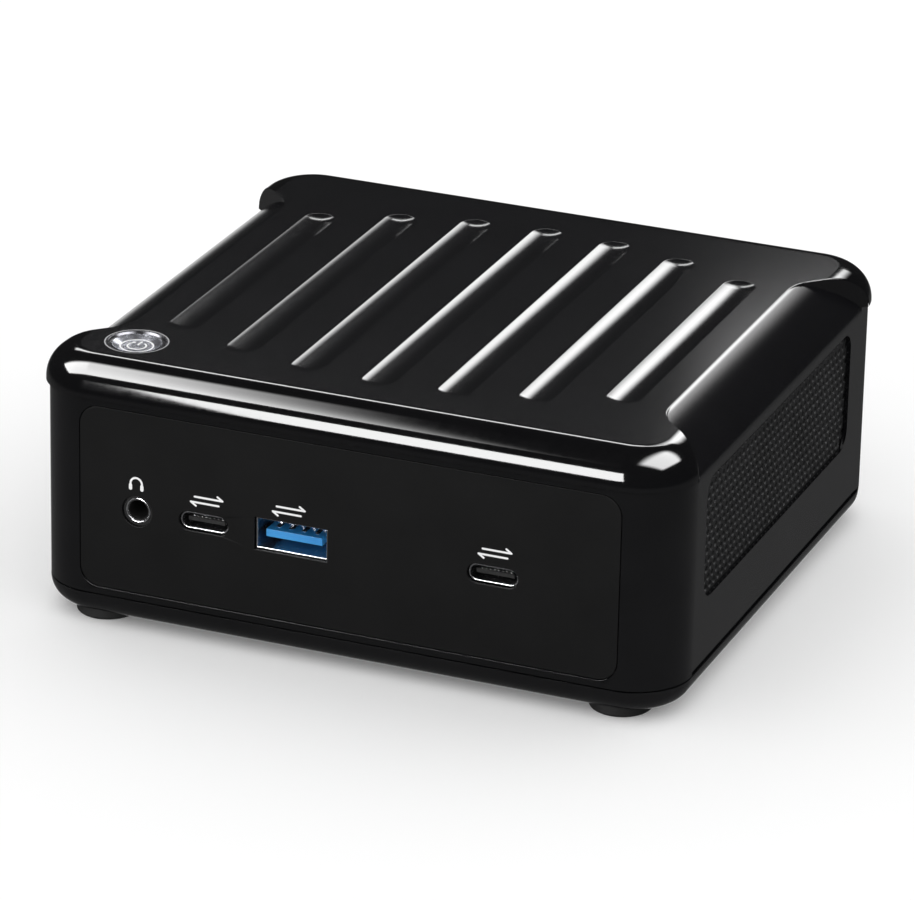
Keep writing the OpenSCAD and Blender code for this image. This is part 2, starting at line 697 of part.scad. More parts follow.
// Outline of the blower's case: a round chamber with a duct towards the fins.
module blower_outline(grow) {
    translate([fan_x, fan_y]) circle(fan_r + 4 + grow, $fn = 128);
    translate([fan_x - fan_r - 4 - grow, fan_y]) square([30 + 2 * grow, 49]);
}

// Legs that stand the blower on the board.
blower_legs = [[-24, -20], [-24, 26], [42, -6]];

module rotate_about_fan(a) {
    translate([fan_x, fan_y, 0]) rotate([0, 0, a]) children();
}

module blower_housing() color([0.06, 0.06, 0.06]) difference() {
    union() {
        difference() {
            translate([0, 0, fan_low_z]) linear_extrude(fan_high_z - fan_low_z - 1) blower_outline(0);
            translate([0, 0, fan_low_z + 1]) linear_extrude(20) blower_outline(-1);
            span([fan_x - fan_r - 3, 38, fan_low_z + 1], [fan_x - fan_r + 25, 44, fan_high_z]);
            for (a = [0 : 60 : 300]) rotate_about_fan(a) translate([14.5, 0, fan_low_z - 1])
                cylinder(h = 3, r = 4.6, $fn = 48);
        }
        for (p = blower_legs) rod(p[0], p[1], board_top_z, fan_low_z + 1, 2);
        span([28, -8, fan_low_z], [42, -4, fan_low_z + 1]);
        rod(fan_x, fan_y, fan_low_z, fan_low_z + 4.6, 3);
    }
    rod(fan_x, fan_y, fan_low_z - 1, fan_low_z + 8, 1.03);
}

module fan_stator() color([0.72, 0.45, 0.3]) difference() {
    rod(fan_x, fan_y, fan_low_z + 1, fan_low_z + 4.2, 8.5);
    rod(fan_x, fan_y, fan_low_z, fan_low_z + 8, 3);
    for (a = [0 : 60 : 300]) rotate_about_fan(a)
        translate([8, 0, fan_low_z]) cylinder(h = 8, r = 1.4, $fn = 32);
}

module blower_cover() color("silver") difference() {
    translate([0, 0, fan_high_z - 1]) linear_extrude(0.8) blower_outline(0);
    rod(fan_x, fan_y, 30, 50, 16);
}

module blower_impeller() color([0.09, 0.09, 0.09]) {
    hub_top = fan_high_z - 1.4;
    difference() {
        rod(fan_x, fan_y, fan_low_z + 1.6, hub_top, 11);
        rod(fan_x, fan_y, fan_low_z + 1, hub_top - 1.4, 10);
        rod(fan_x, fan_y, fan_low_z, fan_high_z, 1);
    }
    difference() {
        rod(fan_x, fan_y, fan_low_z + 3.6, fan_low_z + 4.4, fan_r - 1);
        rod(fan_x, fan_y, fan_low_z, fan_high_z, 10.9);
    }
    for (i = [0 : 28]) rotate_about_fan(i * 360 / 29)
        translate([17, -0.4, fan_low_z + 1.9]) rotate([0, 0, 22]) cube([7, 0.8, hub_top - fan_low_z - 2.1]);
}

module fan_shaft() color("silver") rod(fan_x, fan_y, fan_low_z + 0.2, fan_high_z - 1.4, 1);

// ---- under the board ----

// Rear faces of the two memory sockets.
memory_ys = [-49, -15];

module memory_sockets() color([0.9, 0.88, 0.8]) for (y = memory_ys) difference() {
    union() {
        span([-35.5, y, board_z - 4.6], [35.5, y + 5.5, board_z]);
        for (s = [-1, 1])
            span([s * 34.6 - 0.9, y + 5, board_z - 3.8], [s * 34.6 + 0.9, y + 22, board_z - 1.6]);
    }
    span([-33.7, y + 3, board_z - 3.2], [33.7, y + 6, board_z - 2.1]);
}

module memory_modules() color("darkgreen") for (y = memory_ys) {
    span([-33.6, y + 3.1, board_z - 3.15], [33.6, y + 31.5, board_z - 2.15]);
    for (i = [-1.5 : 1.5])
        span([i * 15.5 - 6, y + 13, board_z - 4.2], [i * 15.5 + 6, y + 24, board_z - 3.15 + skin]);
}

ssd_end_x = 36;
ssd_mid_y = 31;

module ssd_socket() color([0.07, 0.07, 0.07]) difference() {
    span([-44.2, 20, board_z - 4], [-38, 42, board_z]);
    span([-41, 20.9, board_z - 2.6], [-37, 41.1, board_z - 1.7]);
}

module ssd() color([0.05, 0.1, 0.15]) difference() {
    union() {
        span([-40.9, ssd_mid_y - 10, board_z - 2.55], [ssd_end_x, ssd_mid_y + 10, board_z - 1.75]);
        for (x = [-34, -16, 6]) span([x, 23.5, board_z - 3.9], [x + 14, 38.5, board_z - 2.55 + skin]);
    }
    rod(ssd_end_x, ssd_mid_y, 8, board_z, 2.6);
}

module ssd_screw() color("silver") {
    difference() {
        rod(ssd_end_x, ssd_mid_y, board_z - 1.75, board_z, 2.4);
        rod(ssd_end_x, ssd_mid_y, board_z - 3, board_z, 0.95);
    }
    screw_up(ssd_end_x, ssd_mid_y, board_z - 3.25, 2.55, 0.7, 0.9, 2);
}

module wireless_card() color("darkgreen") span([-24, 22, board_z - 1.5], [6, 40, board_z - 0.3]);

module antennas() color([0.2, 0.2, 0.2]) for (s = [-1, 1])
    span([s * 22 - 12, -48.5, roof_z - 0.4], [s * 22 + 12, -44.5, roof_z]);

cell_x = -36;
cell_y = 10;

module coin_cell() color("silver") rod(cell_x, cell_y, board_top_z + 1, board_top_z + 4.2, 10);

module coin_cell_holder() color([0.06, 0.06, 0.06]) difference() {
    rod(cell_x, cell_y, board_top_z, board_top_z + 3.6, 11.2);
    rod(cell_x, cell_y, board_top_z + 1, board_top_z + 5, 10.05);
    span([cell_x - 14, cell_y + 2, board_top_z + 1], [cell_x + 16, cell_y + 20, board_top_z + 6]);
}

module drive_tray() color("silver") {
    inner = drive_w / 2 + 0.15;
    difference() {
        for (s = [-1, 1]) scale([s, 1, 1]) union() {
            span([inner, -46, drive_z], [inner + 0.8, 42, 11.2]);
            span([inner, -46, 10.8], [inner + 0.8, 42, 11.2]);
            for (y = tray_tab_ys) span([inner, y - 4, 10.4], [42, y + 4, 11.2]);
        }
        for (sx = [-1, 1], y = tray_tab_ys) rod(sx * tray_screw_x, y, 10, 12, 1.1);
        for (y = drive_hole_ys)
            translate([-50, y, drive_z + 3]) rotate([0, 90, 0]) cylinder(h = 100, r = 1.6, $fn = 32);
    }
    span([-inner - 0.8, -20, 10.9], [inner + 0.8, 14, 11.2]);
}

module drive() color([0.55, 0.56, 0.58]) difference() {
    span([-drive_w / 2, -50, drive_z], [drive_w / 2, 50, drive_z + drive_h]);
    span([-20, 45, drive_z + 1], [20, 51, drive_z + 5]);
    for (y = drive_hole_ys, s = [-1, 1]) translate([s * drive_w / 2 - s * 2 - 2.5, y, drive_z + 3])
        rotate([0, 90, 0]) cylinder(h = 5, r = 1.5, $fn = 32);
}

module drive_screws() color("silver") {
    for (sx = [-1, 1], y = tray_tab_ys) screw_up(sx * tray_screw_x, y, 9.2, 1.9, 1.2, 0.97, 2.2);
    for (y = drive_hole_ys, s = [-1, 1])
        translate([s * (drive_w / 2 + 0.95), y, drive_z + 3]) rotate([0, s * -90, 0]) {
            cylinder(h = 3, r = 1.45, $fn = 32);
            translate([0, 0, -0.9]) cylinder(h = 0.9, r = 2.6, $fn = 48);
        }
}

top_cover();
front_bezel();
rear_bezel();
front_panel();
rear_io_plate();
side_mesh(-1);  // side_mesh_left
side_mesh(1);  // side_mesh_right
inner_frame();
shell_screws();
bottom_cover();
feet();
cover_screws();
power_button();
power_button_ring();
switch_plunger();
power_switch();
switch_board();
switch_board_screws();
audio_jack();
usb_c_shell(usb_c_left_x);  // usb_c_left_shell
usb_c_tongue(usb_c_left_x);  // usb_c_left_tongue
usb_a_shell();
usb_a_tongue();
usb_c_shell(usb_c_right_x);  // usb_c_right_shell
usb_c_tongue(usb_c_right_x);  // usb_c_right_tongue
hdmi_shells();
hdmi_tongues();
lan_sockets();
rear_usb_shell();
rear_usb_tongues();
dc_jack();
dc_jack_pin();
mainboard();
board_screws();
cpu_package();
cooler_base();
cooler_screws();
heat_pipes();
fin_stack();
blower_housing();
fan_stator();
blower_cover();
blower_impeller();
fan_shaft();
memory_sockets();
memory_modules();
ssd_socket();
ssd();
ssd_screw();
wireless_card();
antennas();
coin_cell();
coin_cell_holder();
drive_tray();
drive();
drive_screws();
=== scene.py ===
import math

import bmesh
import bpy
from mathutils import Matrix, Vector
from mathutils.bvhtree import BVHTree
from mathutils.geometry import delaunay_2d_cdt


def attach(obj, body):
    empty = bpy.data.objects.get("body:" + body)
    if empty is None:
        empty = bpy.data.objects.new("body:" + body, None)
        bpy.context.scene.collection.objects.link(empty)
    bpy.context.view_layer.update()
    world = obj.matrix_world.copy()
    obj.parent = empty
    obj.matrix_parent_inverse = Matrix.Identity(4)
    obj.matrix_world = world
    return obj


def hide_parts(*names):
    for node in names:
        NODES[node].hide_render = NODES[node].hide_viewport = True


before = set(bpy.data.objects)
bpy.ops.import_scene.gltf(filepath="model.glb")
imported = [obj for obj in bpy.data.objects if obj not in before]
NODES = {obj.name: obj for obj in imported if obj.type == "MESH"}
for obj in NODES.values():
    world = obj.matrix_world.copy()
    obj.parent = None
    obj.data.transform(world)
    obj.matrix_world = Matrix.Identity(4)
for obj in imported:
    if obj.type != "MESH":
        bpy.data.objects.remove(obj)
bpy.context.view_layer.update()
MM = 0.001


# ---- node helpers ----

def new_material(name):
    """A material with its node tree and its shader."""
    mat = bpy.data.materials.new(name)
    mat.use_nodes = True
    tree = mat.node_tree
    shader = tree.nodes["Principled BSDF"]
    return mat, tree, shader


def noise(tree, scale, detail=4.0, stretch=(1, 1, 1)):
    """Noise in the object's own space, with features about 1/scale metres across."""
    coord = tree.nodes.new("ShaderNodeTexCoord")
    mapping = tree.nodes.new("ShaderNodeMapping")
    mapping.inputs["Scale"].default_value = stretch
    tex = tree.nodes.new("ShaderNodeTexNoise")
    tex.inputs["Scale"].default_value = scale
    tex.inputs["Detail"].default_value = detail
    tree.links.new(coord.outputs["Object"], mapping.inputs["Vector"])
    tree.links.new(mapping.outputs["Vector"], tex.inputs["Vector"])
    return tex.outputs["Fac"]


def map_range(tree, value, source, target, interpolation="SMOOTHSTEP"):
    """Maps a value from one range onto another."""
    node = tree.nodes.new("ShaderNodeMapRange")
    node.interpolation_type = interpolation
    node.inputs["From Min"].default_value = source[0]
    node.inputs["From Max"].default_value = source[1]
    node.inputs["To Min"].default_value = target[0]
    node.inputs["To Max"].default_value = target[1]
    tree.links.new(value, node.inputs["Value"])
    return node.outputs["Result"]


def combine(tree, operation, first, second):
    """Joins two values, each a socket or a plain number, by one operation."""
    node = tree.nodes.new("ShaderNodeMath")
    node.operation = operation
    for socket, value in zip(node.inputs, (first, second)):
        if isinstance(value, float):
            socket.default_value = value
        else:
            tree.links.new(value, socket)
    return node.outputs["Value"]


def colours(tree, value, dark, light, source=(0.3, 0.7)):
    """Blends two colours by a value."""
    node = tree.nodes.new("ShaderNodeValToRGB")
    node.color_ramp.elements[0].position = source[0]
    node.color_ramp.elements[0].color = (*dark, 1)
    node.color_ramp.elements[1].position = source[1]
    node.color_ramp.elements[1].color = (*light, 1)
    tree.links.new(value, node.inputs["Fac"])
    return node.outputs["Color"]


def bump(tree, shader, height, strength, distance):
    node = tree.nodes.new("ShaderNodeBump")
    node.inputs["Strength"].default_value = strength
    node.inputs["Distance"].default_value = distance
    tree.links.new(height, node.inputs["Height"])
    tree.links.new(node.outputs["Normal"], shader.inputs["Normal"])


def surface(name, dark, light, rough, metallic=0.0, specular=0.5, grain=2000, bump_mm=0.0,
            stretch=(1, 1, 1), wear=90):
    """A finish whose colour mottles between dark and light and whose gloss varies with a fine grain."""
    mat, tree, shader = new_material(name)
    broad = noise(tree, wear, 5.0)
    fine = noise(tree, grain, 3.0, stretch)
    tree.links.new(colours(tree, broad, dark, light), shader.inputs["Base Color"])
    gloss = map_range(tree, fine, (0.3, 0.7), rough, "LINEAR")
    tree.links.new(gloss, shader.inputs["Roughness"])
    shader.inputs["Metallic"].default_value = metallic
    shader.inputs["Specular IOR Level"].default_value = specular
    if bump_mm:
        bump(tree, shader, fine, 1.0, bump_mm * MM)
    return mat


# ---- finishes ----

FINISH = {
    "gloss": surface("gloss_black", (0.0035, 0.0035, 0.004), (0.005, 0.005, 0.0055), (0.06, 0.09),
                     grain=900),
    "top": surface("top_black", (0.004, 0.004, 0.0048), (0.0055, 0.0055, 0.0065), (0.12, 0.18),
                   grain=5000,
                   bump_mm=0.0015),
    "base": surface("base_black", (0.004, 0.004, 0.0045), (0.006, 0.006, 0.0065), (0.12, 0.18),
                    grain=2500),
    "panel": surface("panel_black", (0.005, 0.005, 0.0052), (0.0066, 0.0066, 0.0068), (0.42, 0.55),
                     specular=0.1,
                     grain=3500, bump_mm=0.004, stretch=(1, 1, 3)),
    "mesh": surface("mesh_black", (0.014, 0.014, 0.0145), (0.02, 0.02, 0.021), (0.5, 0.65),
                    specular=0.08,
                    grain=3000, bump_mm=0.003),
    "plate": surface("plate_black", (0.012, 0.012, 0.0125), (0.02, 0.02, 0.021), (0.4, 0.55),
                     grain=2500,
                     bump_mm=0.004),
    "frame": surface("frame_black", (0.02, 0.02, 0.021), (0.03, 0.03, 0.031), (0.45, 0.6), grain=1500,
                     bump_mm=0.005),
    "rubber": surface("rubber_black", (0.008, 0.008, 0.008), (0.016, 0.016, 0.016), (0.6, 0.8),
                      specular=0.3,
                      grain=3000, bump_mm=0.01),
    "chrome": surface("dark_chrome", (0.42, 0.43, 0.47), (0.54, 0.55, 0.6), (0.2, 0.28), metallic=1.0,
                      grain=1500),
    "ring": surface("ring_chrome", (0.05, 0.05, 0.055), (0.08, 0.08, 0.085), (0.2, 0.3), metallic=1.0,
                    grain=1500),
    # painted highlight: a pale grey, not a metal, that stands in for the light caught on the button ring's
    # outer edge
    "line": surface("painted_highlight_edge", (0.4, 0.4, 0.41), (0.55, 0.55, 0.56), (0.3, 0.4), grain=1500),
    "print": surface("white_print", (0.82, 0.82, 0.83), (0.9, 0.9, 0.9), (0.45, 0.55), grain=3000),
    "steel": surface("screw_steel", (0.45, 0.45, 0.46), (0.62, 0.62, 0.64), (0.22, 0.36), metallic=1.0,
                     grain=2500),
    "nickel": surface("shell_nickel", (0.50, 0.50, 0.52), (0.68, 0.68, 0.70), (0.16, 0.28),
                      metallic=1.0, grain=2500),
    "black": surface("moulded_black", (0.008, 0.008, 0.008), (0.014, 0.014, 0.014), (0.35, 0.5),
                     grain=2500,
                     bump_mm=0.004),
    "blue": surface("moulded_blue", (0.02, 0.26, 0.66), (0.035, 0.34, 0.78), (0.3, 0.42), grain=2500,
                    bump_mm=0.003),
    "red": surface("moulded_red", (0.4, 0.02, 0.015), (0.5, 0.03, 0.02), (0.35, 0.5), grain=2500),
    "green": surface("board_green", (0.006, 0.05, 0.02), (0.012, 0.08, 0.035), (0.25, 0.4), grain=2500,
                     wear=400),
    "navy": surface("board_black", (0.01, 0.012, 0.02), (0.016, 0.018, 0.028), (0.25, 0.4), grain=2500,
                    wear=400),
    "copper": surface("copper", (0.60, 0.27, 0.16), (0.78, 0.40, 0.26), (0.2, 0.34), metallic=1.0,
                      grain=2500),
    "fins": surface("fin_aluminium", (0.62, 0.63, 0.65), (0.78, 0.79, 0.81), (0.28, 0.4), metallic=1.0,
                    grain=2500),
    "ivory": surface("socket_ivory", (0.66, 0.62, 0.5), (0.76, 0.71, 0.58), (0.4, 0.5), grain=2500),
    "drive": surface("drive_metal", (0.42, 0.43, 0.46), (0.55, 0.56, 0.59), (0.3, 0.42), metallic=1.0,
                     grain=2500),
}

NODE_FINISH = {
    "top": ["top_cover"],
    "gloss": ["front_bezel", "rear_bezel"],
    "base": ["bottom_cover"],
    "panel": ["front_panel"],
    "mesh": ["side_mesh_left", "side_mesh_right"],
    "plate": ["rear_io_plate"],
    "frame": ["inner_frame"],
    "rubber": ["feet"],
    "chrome": ["power_button", "power_button_ring"],
    "steel": ["shell_screws", "switch_board_screws", "board_screws", "cooler_screws", "ssd_screw",
              "drive_screws", "cover_screws", "fan_shaft", "blower_cover", "drive_tray", "antennas"],
    "nickel": ["usb_c_left_shell", "usb_c_right_shell", "usb_a_shell", "hdmi_shells", "lan_sockets",
               "rear_usb_shell", "dc_jack_pin", "coin_cell"],
    "black": ["audio_jack", "usb_c_left_tongue", "usb_c_right_tongue", "hdmi_tongues", "dc_jack",
              "power_switch", "ssd_socket", "coin_cell_holder", "blower_housing", "blower_impeller"],
    "blue": ["usb_a_tongue", "rear_usb_tongues"],
    "red": ["switch_plunger"],
    "green": ["mainboard", "switch_board", "memory_modules", "wireless_card", "cpu_package"],
    "navy": ["ssd"],
    "copper": ["cooler_base", "heat_pipes", "fan_stator"],
    "fins": ["fin_stack"],
    "ivory": ["memory_sockets"],
    "drive": ["drive"],
}


def dress(obj, finish):
    obj.data.materials.clear()
    obj.data.materials.append(FINISH[finish])


for finish, names in NODE_FINISH.items():
    for name in names:
        dress(NODES[name], finish)


# ---- meshes made of patches ----

KEYS_PER_MM = 2000
SAME_PLACE = 1e-7


class Skin:
    """Collects patches in millimetres; points of a group that agree share one vertex and blend normals."""

    def __init__(self):
        self.points = []
        self.normals = []
        self.faces = []
        self.slots = []
        self.index = {}

    def vertex(self, point, normal, group):
        key = (group, *(round(c * KEYS_PER_MM) for c in point))
        if key not in self.index:
            self.index[key] = len(self.points)
            self.points.append(Vector(point))
            self.normals.append(Vector((0, 0, 0)))
        self.normals[self.index[key]] += Vector(normal).normalized()
        return self.index[key]

    def face(self, corners, slot, facing):
        """Adds a face, turned so that it looks the way its normals point."""
        ring = [c for i, c in enumerate(corners) if c != corners[i - 1]]
        if len(set(ring)) < 3:
            return
        a, b, c = (self.points[ring[i]] for i in (0, 1, 2))
        if len(ring) == 4:
            flat = (self.points[ring[2]] - a).cross(self.points[ring[3]] - b)
        else:
            flat = (b - a).cross(c - a)
        if flat.dot(facing) < 0:
            ring.reverse()
        self.faces.append(ring)
        self.slots.append(slot)

    def grid(self, rows, slot=0, group=0):
        """Joins rows of (point, normal) pairs of equal length with quads."""
        ids = [[self.vertex(p, n, group) for p, n in row] for row in rows]
        for i in range(len(rows) - 1):
            for j in range(len(rows[i]) - 1):
                facing = sum((Vector(rows[i + u][j + v][1]) for u in (0, 1) for v in (0, 1)), Vector())
                self.face([ids[i][j], ids[i][j + 1], ids[i + 1][j + 1], ids[i + 1][j]], slot, facing)

    def flat(self, loops, lift, normal, inside, slot=0, group=0):
        """Fills the plane area bounded by closed loops, keeping the triangles that inside() accepts."""
        verts = []
        edges = []
        for loop in loops:
            start = len(verts)
            verts += [Vector(p) for p in loop]
            edges += [(start + i, start + (i + 1) % len(loop)) for i in range(len(loop))]
        made = delaunay_2d_cdt(verts, edges, [], 0, SAME_PLACE)
        places, triangles = made[0], made[2]
        for triangle in triangles:
            corners = [places[i] for i in triangle]
            if inside(sum(corners, Vector((0, 0))) / len(corners)):
                self.face([self.vertex(lift(c), normal, group) for c in corners], slot, Vector(normal))

    def mesh(self, name):
        mesh = bpy.data.meshes.new(name)
        mesh.from_pydata([p * MM for p in self.points], [], self.faces)
        mesh.polygons.foreach_set("use_smooth", [True] * len(self.faces))
        mesh.polygons.foreach_set("material_index", self.slots)
        mesh.update()
        return mesh


def merge(name, meshes_and_normals):
    """One mesh from several, each with its own normal for every face corner."""
    points = []
    faces = []
    slots = []
    normals = []
    for mesh, loop_normals in meshes_and_normals:
        start = len(points)
        points += [v.co.copy() for v in mesh.vertices]
        for poly in mesh.polygons:
            faces.append([start + i for i in poly.vertices])
            slots.append(poly.material_index)
            normals += [loop_normals[i] for i in poly.loop_indices]
    mesh = bpy.data.meshes.new(name)
    mesh.from_pydata(points, [], faces)
    mesh.polygons.foreach_set("use_smooth", [True] * len(faces))
    mesh.polygons.foreach_set("material_index", slots)
    mesh.update()
    mesh.normals_split_custom_set(normals)
    return mesh


def corner_normals(mesh):
    return [Vector(n.vector) for n in mesh.corner_normals]


def without_skin(source, skin_tree, slot, near=0.1, agree=0.7):
    """The faces of a CAD mesh that don't lie on a new skin, with their own normals."""
    points = [v.co.copy() for v in source.vertices]
    normals = corner_normals(source)
    faces = []
    kept = []
    for poly in source.polygons:
        hit, normal, _, distance = skin_tree.find_nearest(poly.center)
        if distance is not None and distance < near * MM and normal.dot(poly.normal) > agree:
            continue
        faces.append(list(poly.vertices))
        kept += [normals[i] for i in poly.loop_indices]
    mesh = bpy.data.meshes.new("kept")
    mesh.from_pydata(points, [], faces)
    mesh.polygons.foreach_set("material_index", [slot] * len(faces))
    mesh.update()
    return mesh, kept


def add_piece(name, mesh, finishes):
    obj = bpy.data.objects.new(name, mesh)
    for finish in finishes:
        mesh.materials.append(FINISH[finish])
    bpy.context.scene.collection.objects.link(obj)
    return obj


# ---- the case's sizes, in millimetres ----

CASE_HALF_W = 58.75
CASE_HALF_D = 54.1
CASE_H = 47.85
BAND_R = 11
EDGE_R = 6
TOP_SEAM_Z = 41.6
CHANNELS = 7
CHANNEL_PITCH = 13.3
CHANNEL_W = 5.8
CHANNEL_DEPTH = 0.6
CHANNEL_HALF = 41.3
CHANNEL_END_ARC = 85
CHANNEL_MID_Y = -1.3
CHANNEL_R = ((CHANNEL_W / 2) ** 2 + CHANNEL_DEPTH ** 2) / (2 * CHANNEL_DEPTH)
CREASE_X = 48.3
CREASE_SLOPE = math.radians(19.5)
SIDE_X = 57.8
SHOULDER_R = 3.5
SHOULDER_X = SIDE_X - SHOULDER_R
SLOPE_R = 24
SLOPE_X = CREASE_X - SLOPE_R * math.sin(CREASE_SLOPE)
SLOPE_Z = CASE_H - SLOPE_R * math.cos(CREASE_SLOPE)
SLOPE_TURN = math.asin((SHOULDER_X - SLOPE_X) / (SLOPE_R - SHOULDER_R))
SHOULDER_Z = SLOPE_Z + (SLOPE_R - SHOULDER_R) * math.cos(SLOPE_TURN)
RECESS_END_R = 9
RECESS_Y = {-1: -30.5, 1: 29.0}
BUTTON = Vector((-44, -40.8))
RING_R = 5.65
RING_SIDES = 64
CREST = 0.22
CREST_BLEND = 0.6
RIM_R = 0.3
RIM_D = math.sqrt((CHANNEL_R + RIM_R) ** 2 - (CHANNEL_R - CHANNEL_DEPTH + RIM_R) ** 2)
SEAM_R = 0.12
SEAM_LEAN = 8
SEAM_RECESS_Y = -43.0
UP = Vector((0, 0, 1))

CORE_X = CASE_HALF_W - BAND_R
CORE_Y = CASE_HALF_D - BAND_R
CORE_R = BAND_R - EDGE_R
EDGE_Z = CASE_H - EDGE_R

# How finely each round stretch of the top cover is drawn.
EDGE_STEPS = 14
CORNER_STEPS = 16
STRAIGHT_STEPS = 4
CREST_STEPS = 12
SLOPE_STEPS = 14
SHOULDER_STEPS = 12
RECESS_CELLS = 12
RIM_STEPS = 4
FLOOR_STEPS = 12
HEAD_STEPS = 24

EDGE_ANGLES = [math.pi / 2 * i / EDGE_STEPS for i in range(EDGE_STEPS + 1)]
EDGE_REACHES = [EDGE_R * math.sin(a) for a in EDGE_ANGLES]
CREST_BEND = CREST_STEPS + 1
SATIN = 0
GLOSS = 1


def band_height(x, y):
    """Height and normal of the rounded block's top at a place."""
    over = Vector((max(abs(x) - CORE_X, 0), max(abs(y) - CORE_Y, 0)))
    out = over.length - CORE_R
    if out <= 0:
        return CASE_H, Vector((0, 0, 1))
    out = min(out, EDGE_R)
    up = math.sqrt(EDGE_R ** 2 - out ** 2)
    away = over.normalized()
    away = Vector((math.copysign(away.x, x), math.copysign(away.y, y)))
    return EDGE_Z + up, Vector((away.x * out, away.y * out, up)) / EDGE_R


def recess_height(x):
    """Height and normal of one side's recess at a distance from the middle (x above zero)."""
    middle, r, base = (SLOPE_X, SLOPE_R, SLOPE_Z)
    if x > SLOPE_X + SLOPE_R * math.sin(SLOPE_TURN):
        middle, r, base = (SHOULDER_X, SHOULDER_R, SHOULDER_Z)
    lean = min((x - middle) / r, 1)
    up = math.sqrt(1 - lean * lean)
    return base + r * up, Vector((lean, 0, up))


def recess_columns():
    """Distances from the middle at which the recess is drawn, crease to side."""
    slope = [CREASE_SLOPE + (SLOPE_TURN - CREASE_SLOPE) * i / SLOPE_STEPS for i in range(SLOPE_STEPS + 1)]
    shoulder = [SLOPE_TURN + (math.pi / 2 - SLOPE_TURN) * i / SHOULDER_STEPS
                for i in range(1, SHOULDER_STEPS + 1)]
    out = [SLOPE_X + SLOPE_R * math.sin(a) for a in slope]
    out += [SHOULDER_X + SHOULDER_R * math.sin(a) for a in shoulder]
    return out


def recess_end(x, end, grow=0.0):
    """Where the recess ends along Y at a distance from the middle, for the front (-1) or rear (+1)."""
    grown = RECESS_END_R + grow
    centre_x = CREASE_X + RECESS_END_R
    straight_x = centre_x - grown * math.cos(math.pi / 4)
    if x < straight_x:
        rise = math.sqrt(max(grown ** 2 - (x - centre_x) ** 2, 0))
    else:
        rise = grown * math.sin(math.pi / 4) + x - straight_x
    return RECESS_Y[end] + end * rise


def edge_crossing(start, along, reach, longest=20.0, halvings=40):
    """Distance along a line at which the round edge has run out by a given reach."""
    low, high = 0.0, longest
    for _ in range(halvings):
        middle = (low + high) / 2
        place = start + middle * along
        over = Vector((max(place.x - CORE_X, 0), max(abs(place.y) - CORE_Y, 0)))
        if over.length - CORE_R < reach:
            low = middle
        else:
            high = middle
    return low


def crest_points(end, reaches):
    """Outline of one recess end as (point on the outline, outward direction), crease to side."""
    out = []
    centre = Vector((CREASE_X + RECESS_END_R, RECESS_Y[end]))
    for i in range(CREST_STEPS + 1):
        a = math.pi / 4 * i / CREST_STEPS
        away = Vector((-math.cos(a), end * math.sin(a)))
        out.append((centre + RECESS_END_R * away, away))
    start, away = out[-1]
    along = Vector((math.cos(math.pi / 4), end * math.sin(math.pi / 4)))
    for reach in reaches:
        out.append((start + edge_crossing(start + CREST * away, along, reach) * along, away))
    return out


def band_row(side, end, cross, reach, angle):
    """One level of a round edge, from where it meets a recess, round the corner, to the middle."""
    start = 0.0
    if abs(cross.y) > CORE_Y:
        start = math.atan2(abs(cross.y) - CORE_Y, cross.x - CORE_X)
    r = CORE_R + reach
    cells = [cross]
    for i in range(CORNER_STEPS + 1):
        a = start + (math.pi / 2 - start) * i / CORNER_STEPS
        cells.append(Vector((CORE_X + r * math.cos(a), end * (CORE_Y + r * math.sin(a)))))
    for i in range(1, STRAIGHT_STEPS + 1):
        cells.append(Vector((CORE_X * (1 - i / STRAIGHT_STEPS), end * (CORE_Y + CORE_R + reach))))
    z = EDGE_Z + EDGE_R * math.cos(angle)
    row = []
    for cell in cells:
        _, normal = band_height(cell.x, cell.y)
        row.append(((side * cell.x, cell.y, z), (side * normal.x, normal.y, normal.z)))
    return row


def seam_rows(above):
    """The upright wall below a round edge, down to the seam, with a small round at its lower edge."""
    wall = EDGE_Z - TOP_SEAM_Z
    rows = []
    for drop, inset in ((wall - SEAM_R, 0), (wall - SEAM_R / 4, SEAM_R / 4), (wall, SEAM_R)):
        row = []
        for (x, y, z), normal in above:
            out = Vector(normal)
            tilt = Vector((out.x, out.y, -inset * SEAM_LEAN)).normalized()
            row.append(((x - out.x * inset, y - out.y * inset, z - drop), tilt))
        rows.append(row)
    return rows


def edge_quarter(skin, end, side, crest):
    """A quarter of the round edge, drawn down to the seam; returns its border with the flat."""
    rows = []
    for (p, away), reach, angle in zip(crest[CREST_BEND:], EDGE_REACHES, EDGE_ANGLES):
        rows.append(band_row(side, end, p + CREST * away, reach, angle))
    rows += seam_rows(rows[-1])
    skin.grid(rows, GLOSS)
    return [Vector(p[:2]) for p, _ in rows[0]]


def crest_strip(skin, side, crest):
    """The crest between a round edge and a recess, and the wall below it that closes the recess."""
    outer = []
    inner = []
    foot = []
    for p, away in crest:
        q = p + CREST * away
        z, normal = band_height(q.x, q.y)
        outer.append(((side * q.x, q.y, z), (side * normal.x, normal.y, normal.z)))
        top, _ = band_height(p.x, p.y)
        floor_z, floor_n = TOP_SEAM_Z, UP
        if p.x < SIDE_X:
            floor_z, floor_n = recess_height(p.x)
        height = max(top - floor_z, 0)
        share = min(height / CREST_BLEND, 1)
        wall_n = Vector((-away.x, -away.y, 0))
        mix = (floor_n * (1 - share) + wall_n * share).normalized()
        x = side * min(p.x, CASE_HALF_W)
        z = top - min(CREST, height / 2)
        inner.append(((x, p.y, z), (side * mix.x, mix.y, mix.z)))
        foot.append(((x, p.y, min(floor_z, z)), (side * wall_n.x, wall_n.y, 0)))
    skin.grid([outer[:CREST_BEND + 1], inner[:CREST_BEND + 1]], SATIN)
    skin.grid([outer[CREST_BEND:], inner[CREST_BEND:]], GLOSS)
    skin.grid([inner, foot], GLOSS)


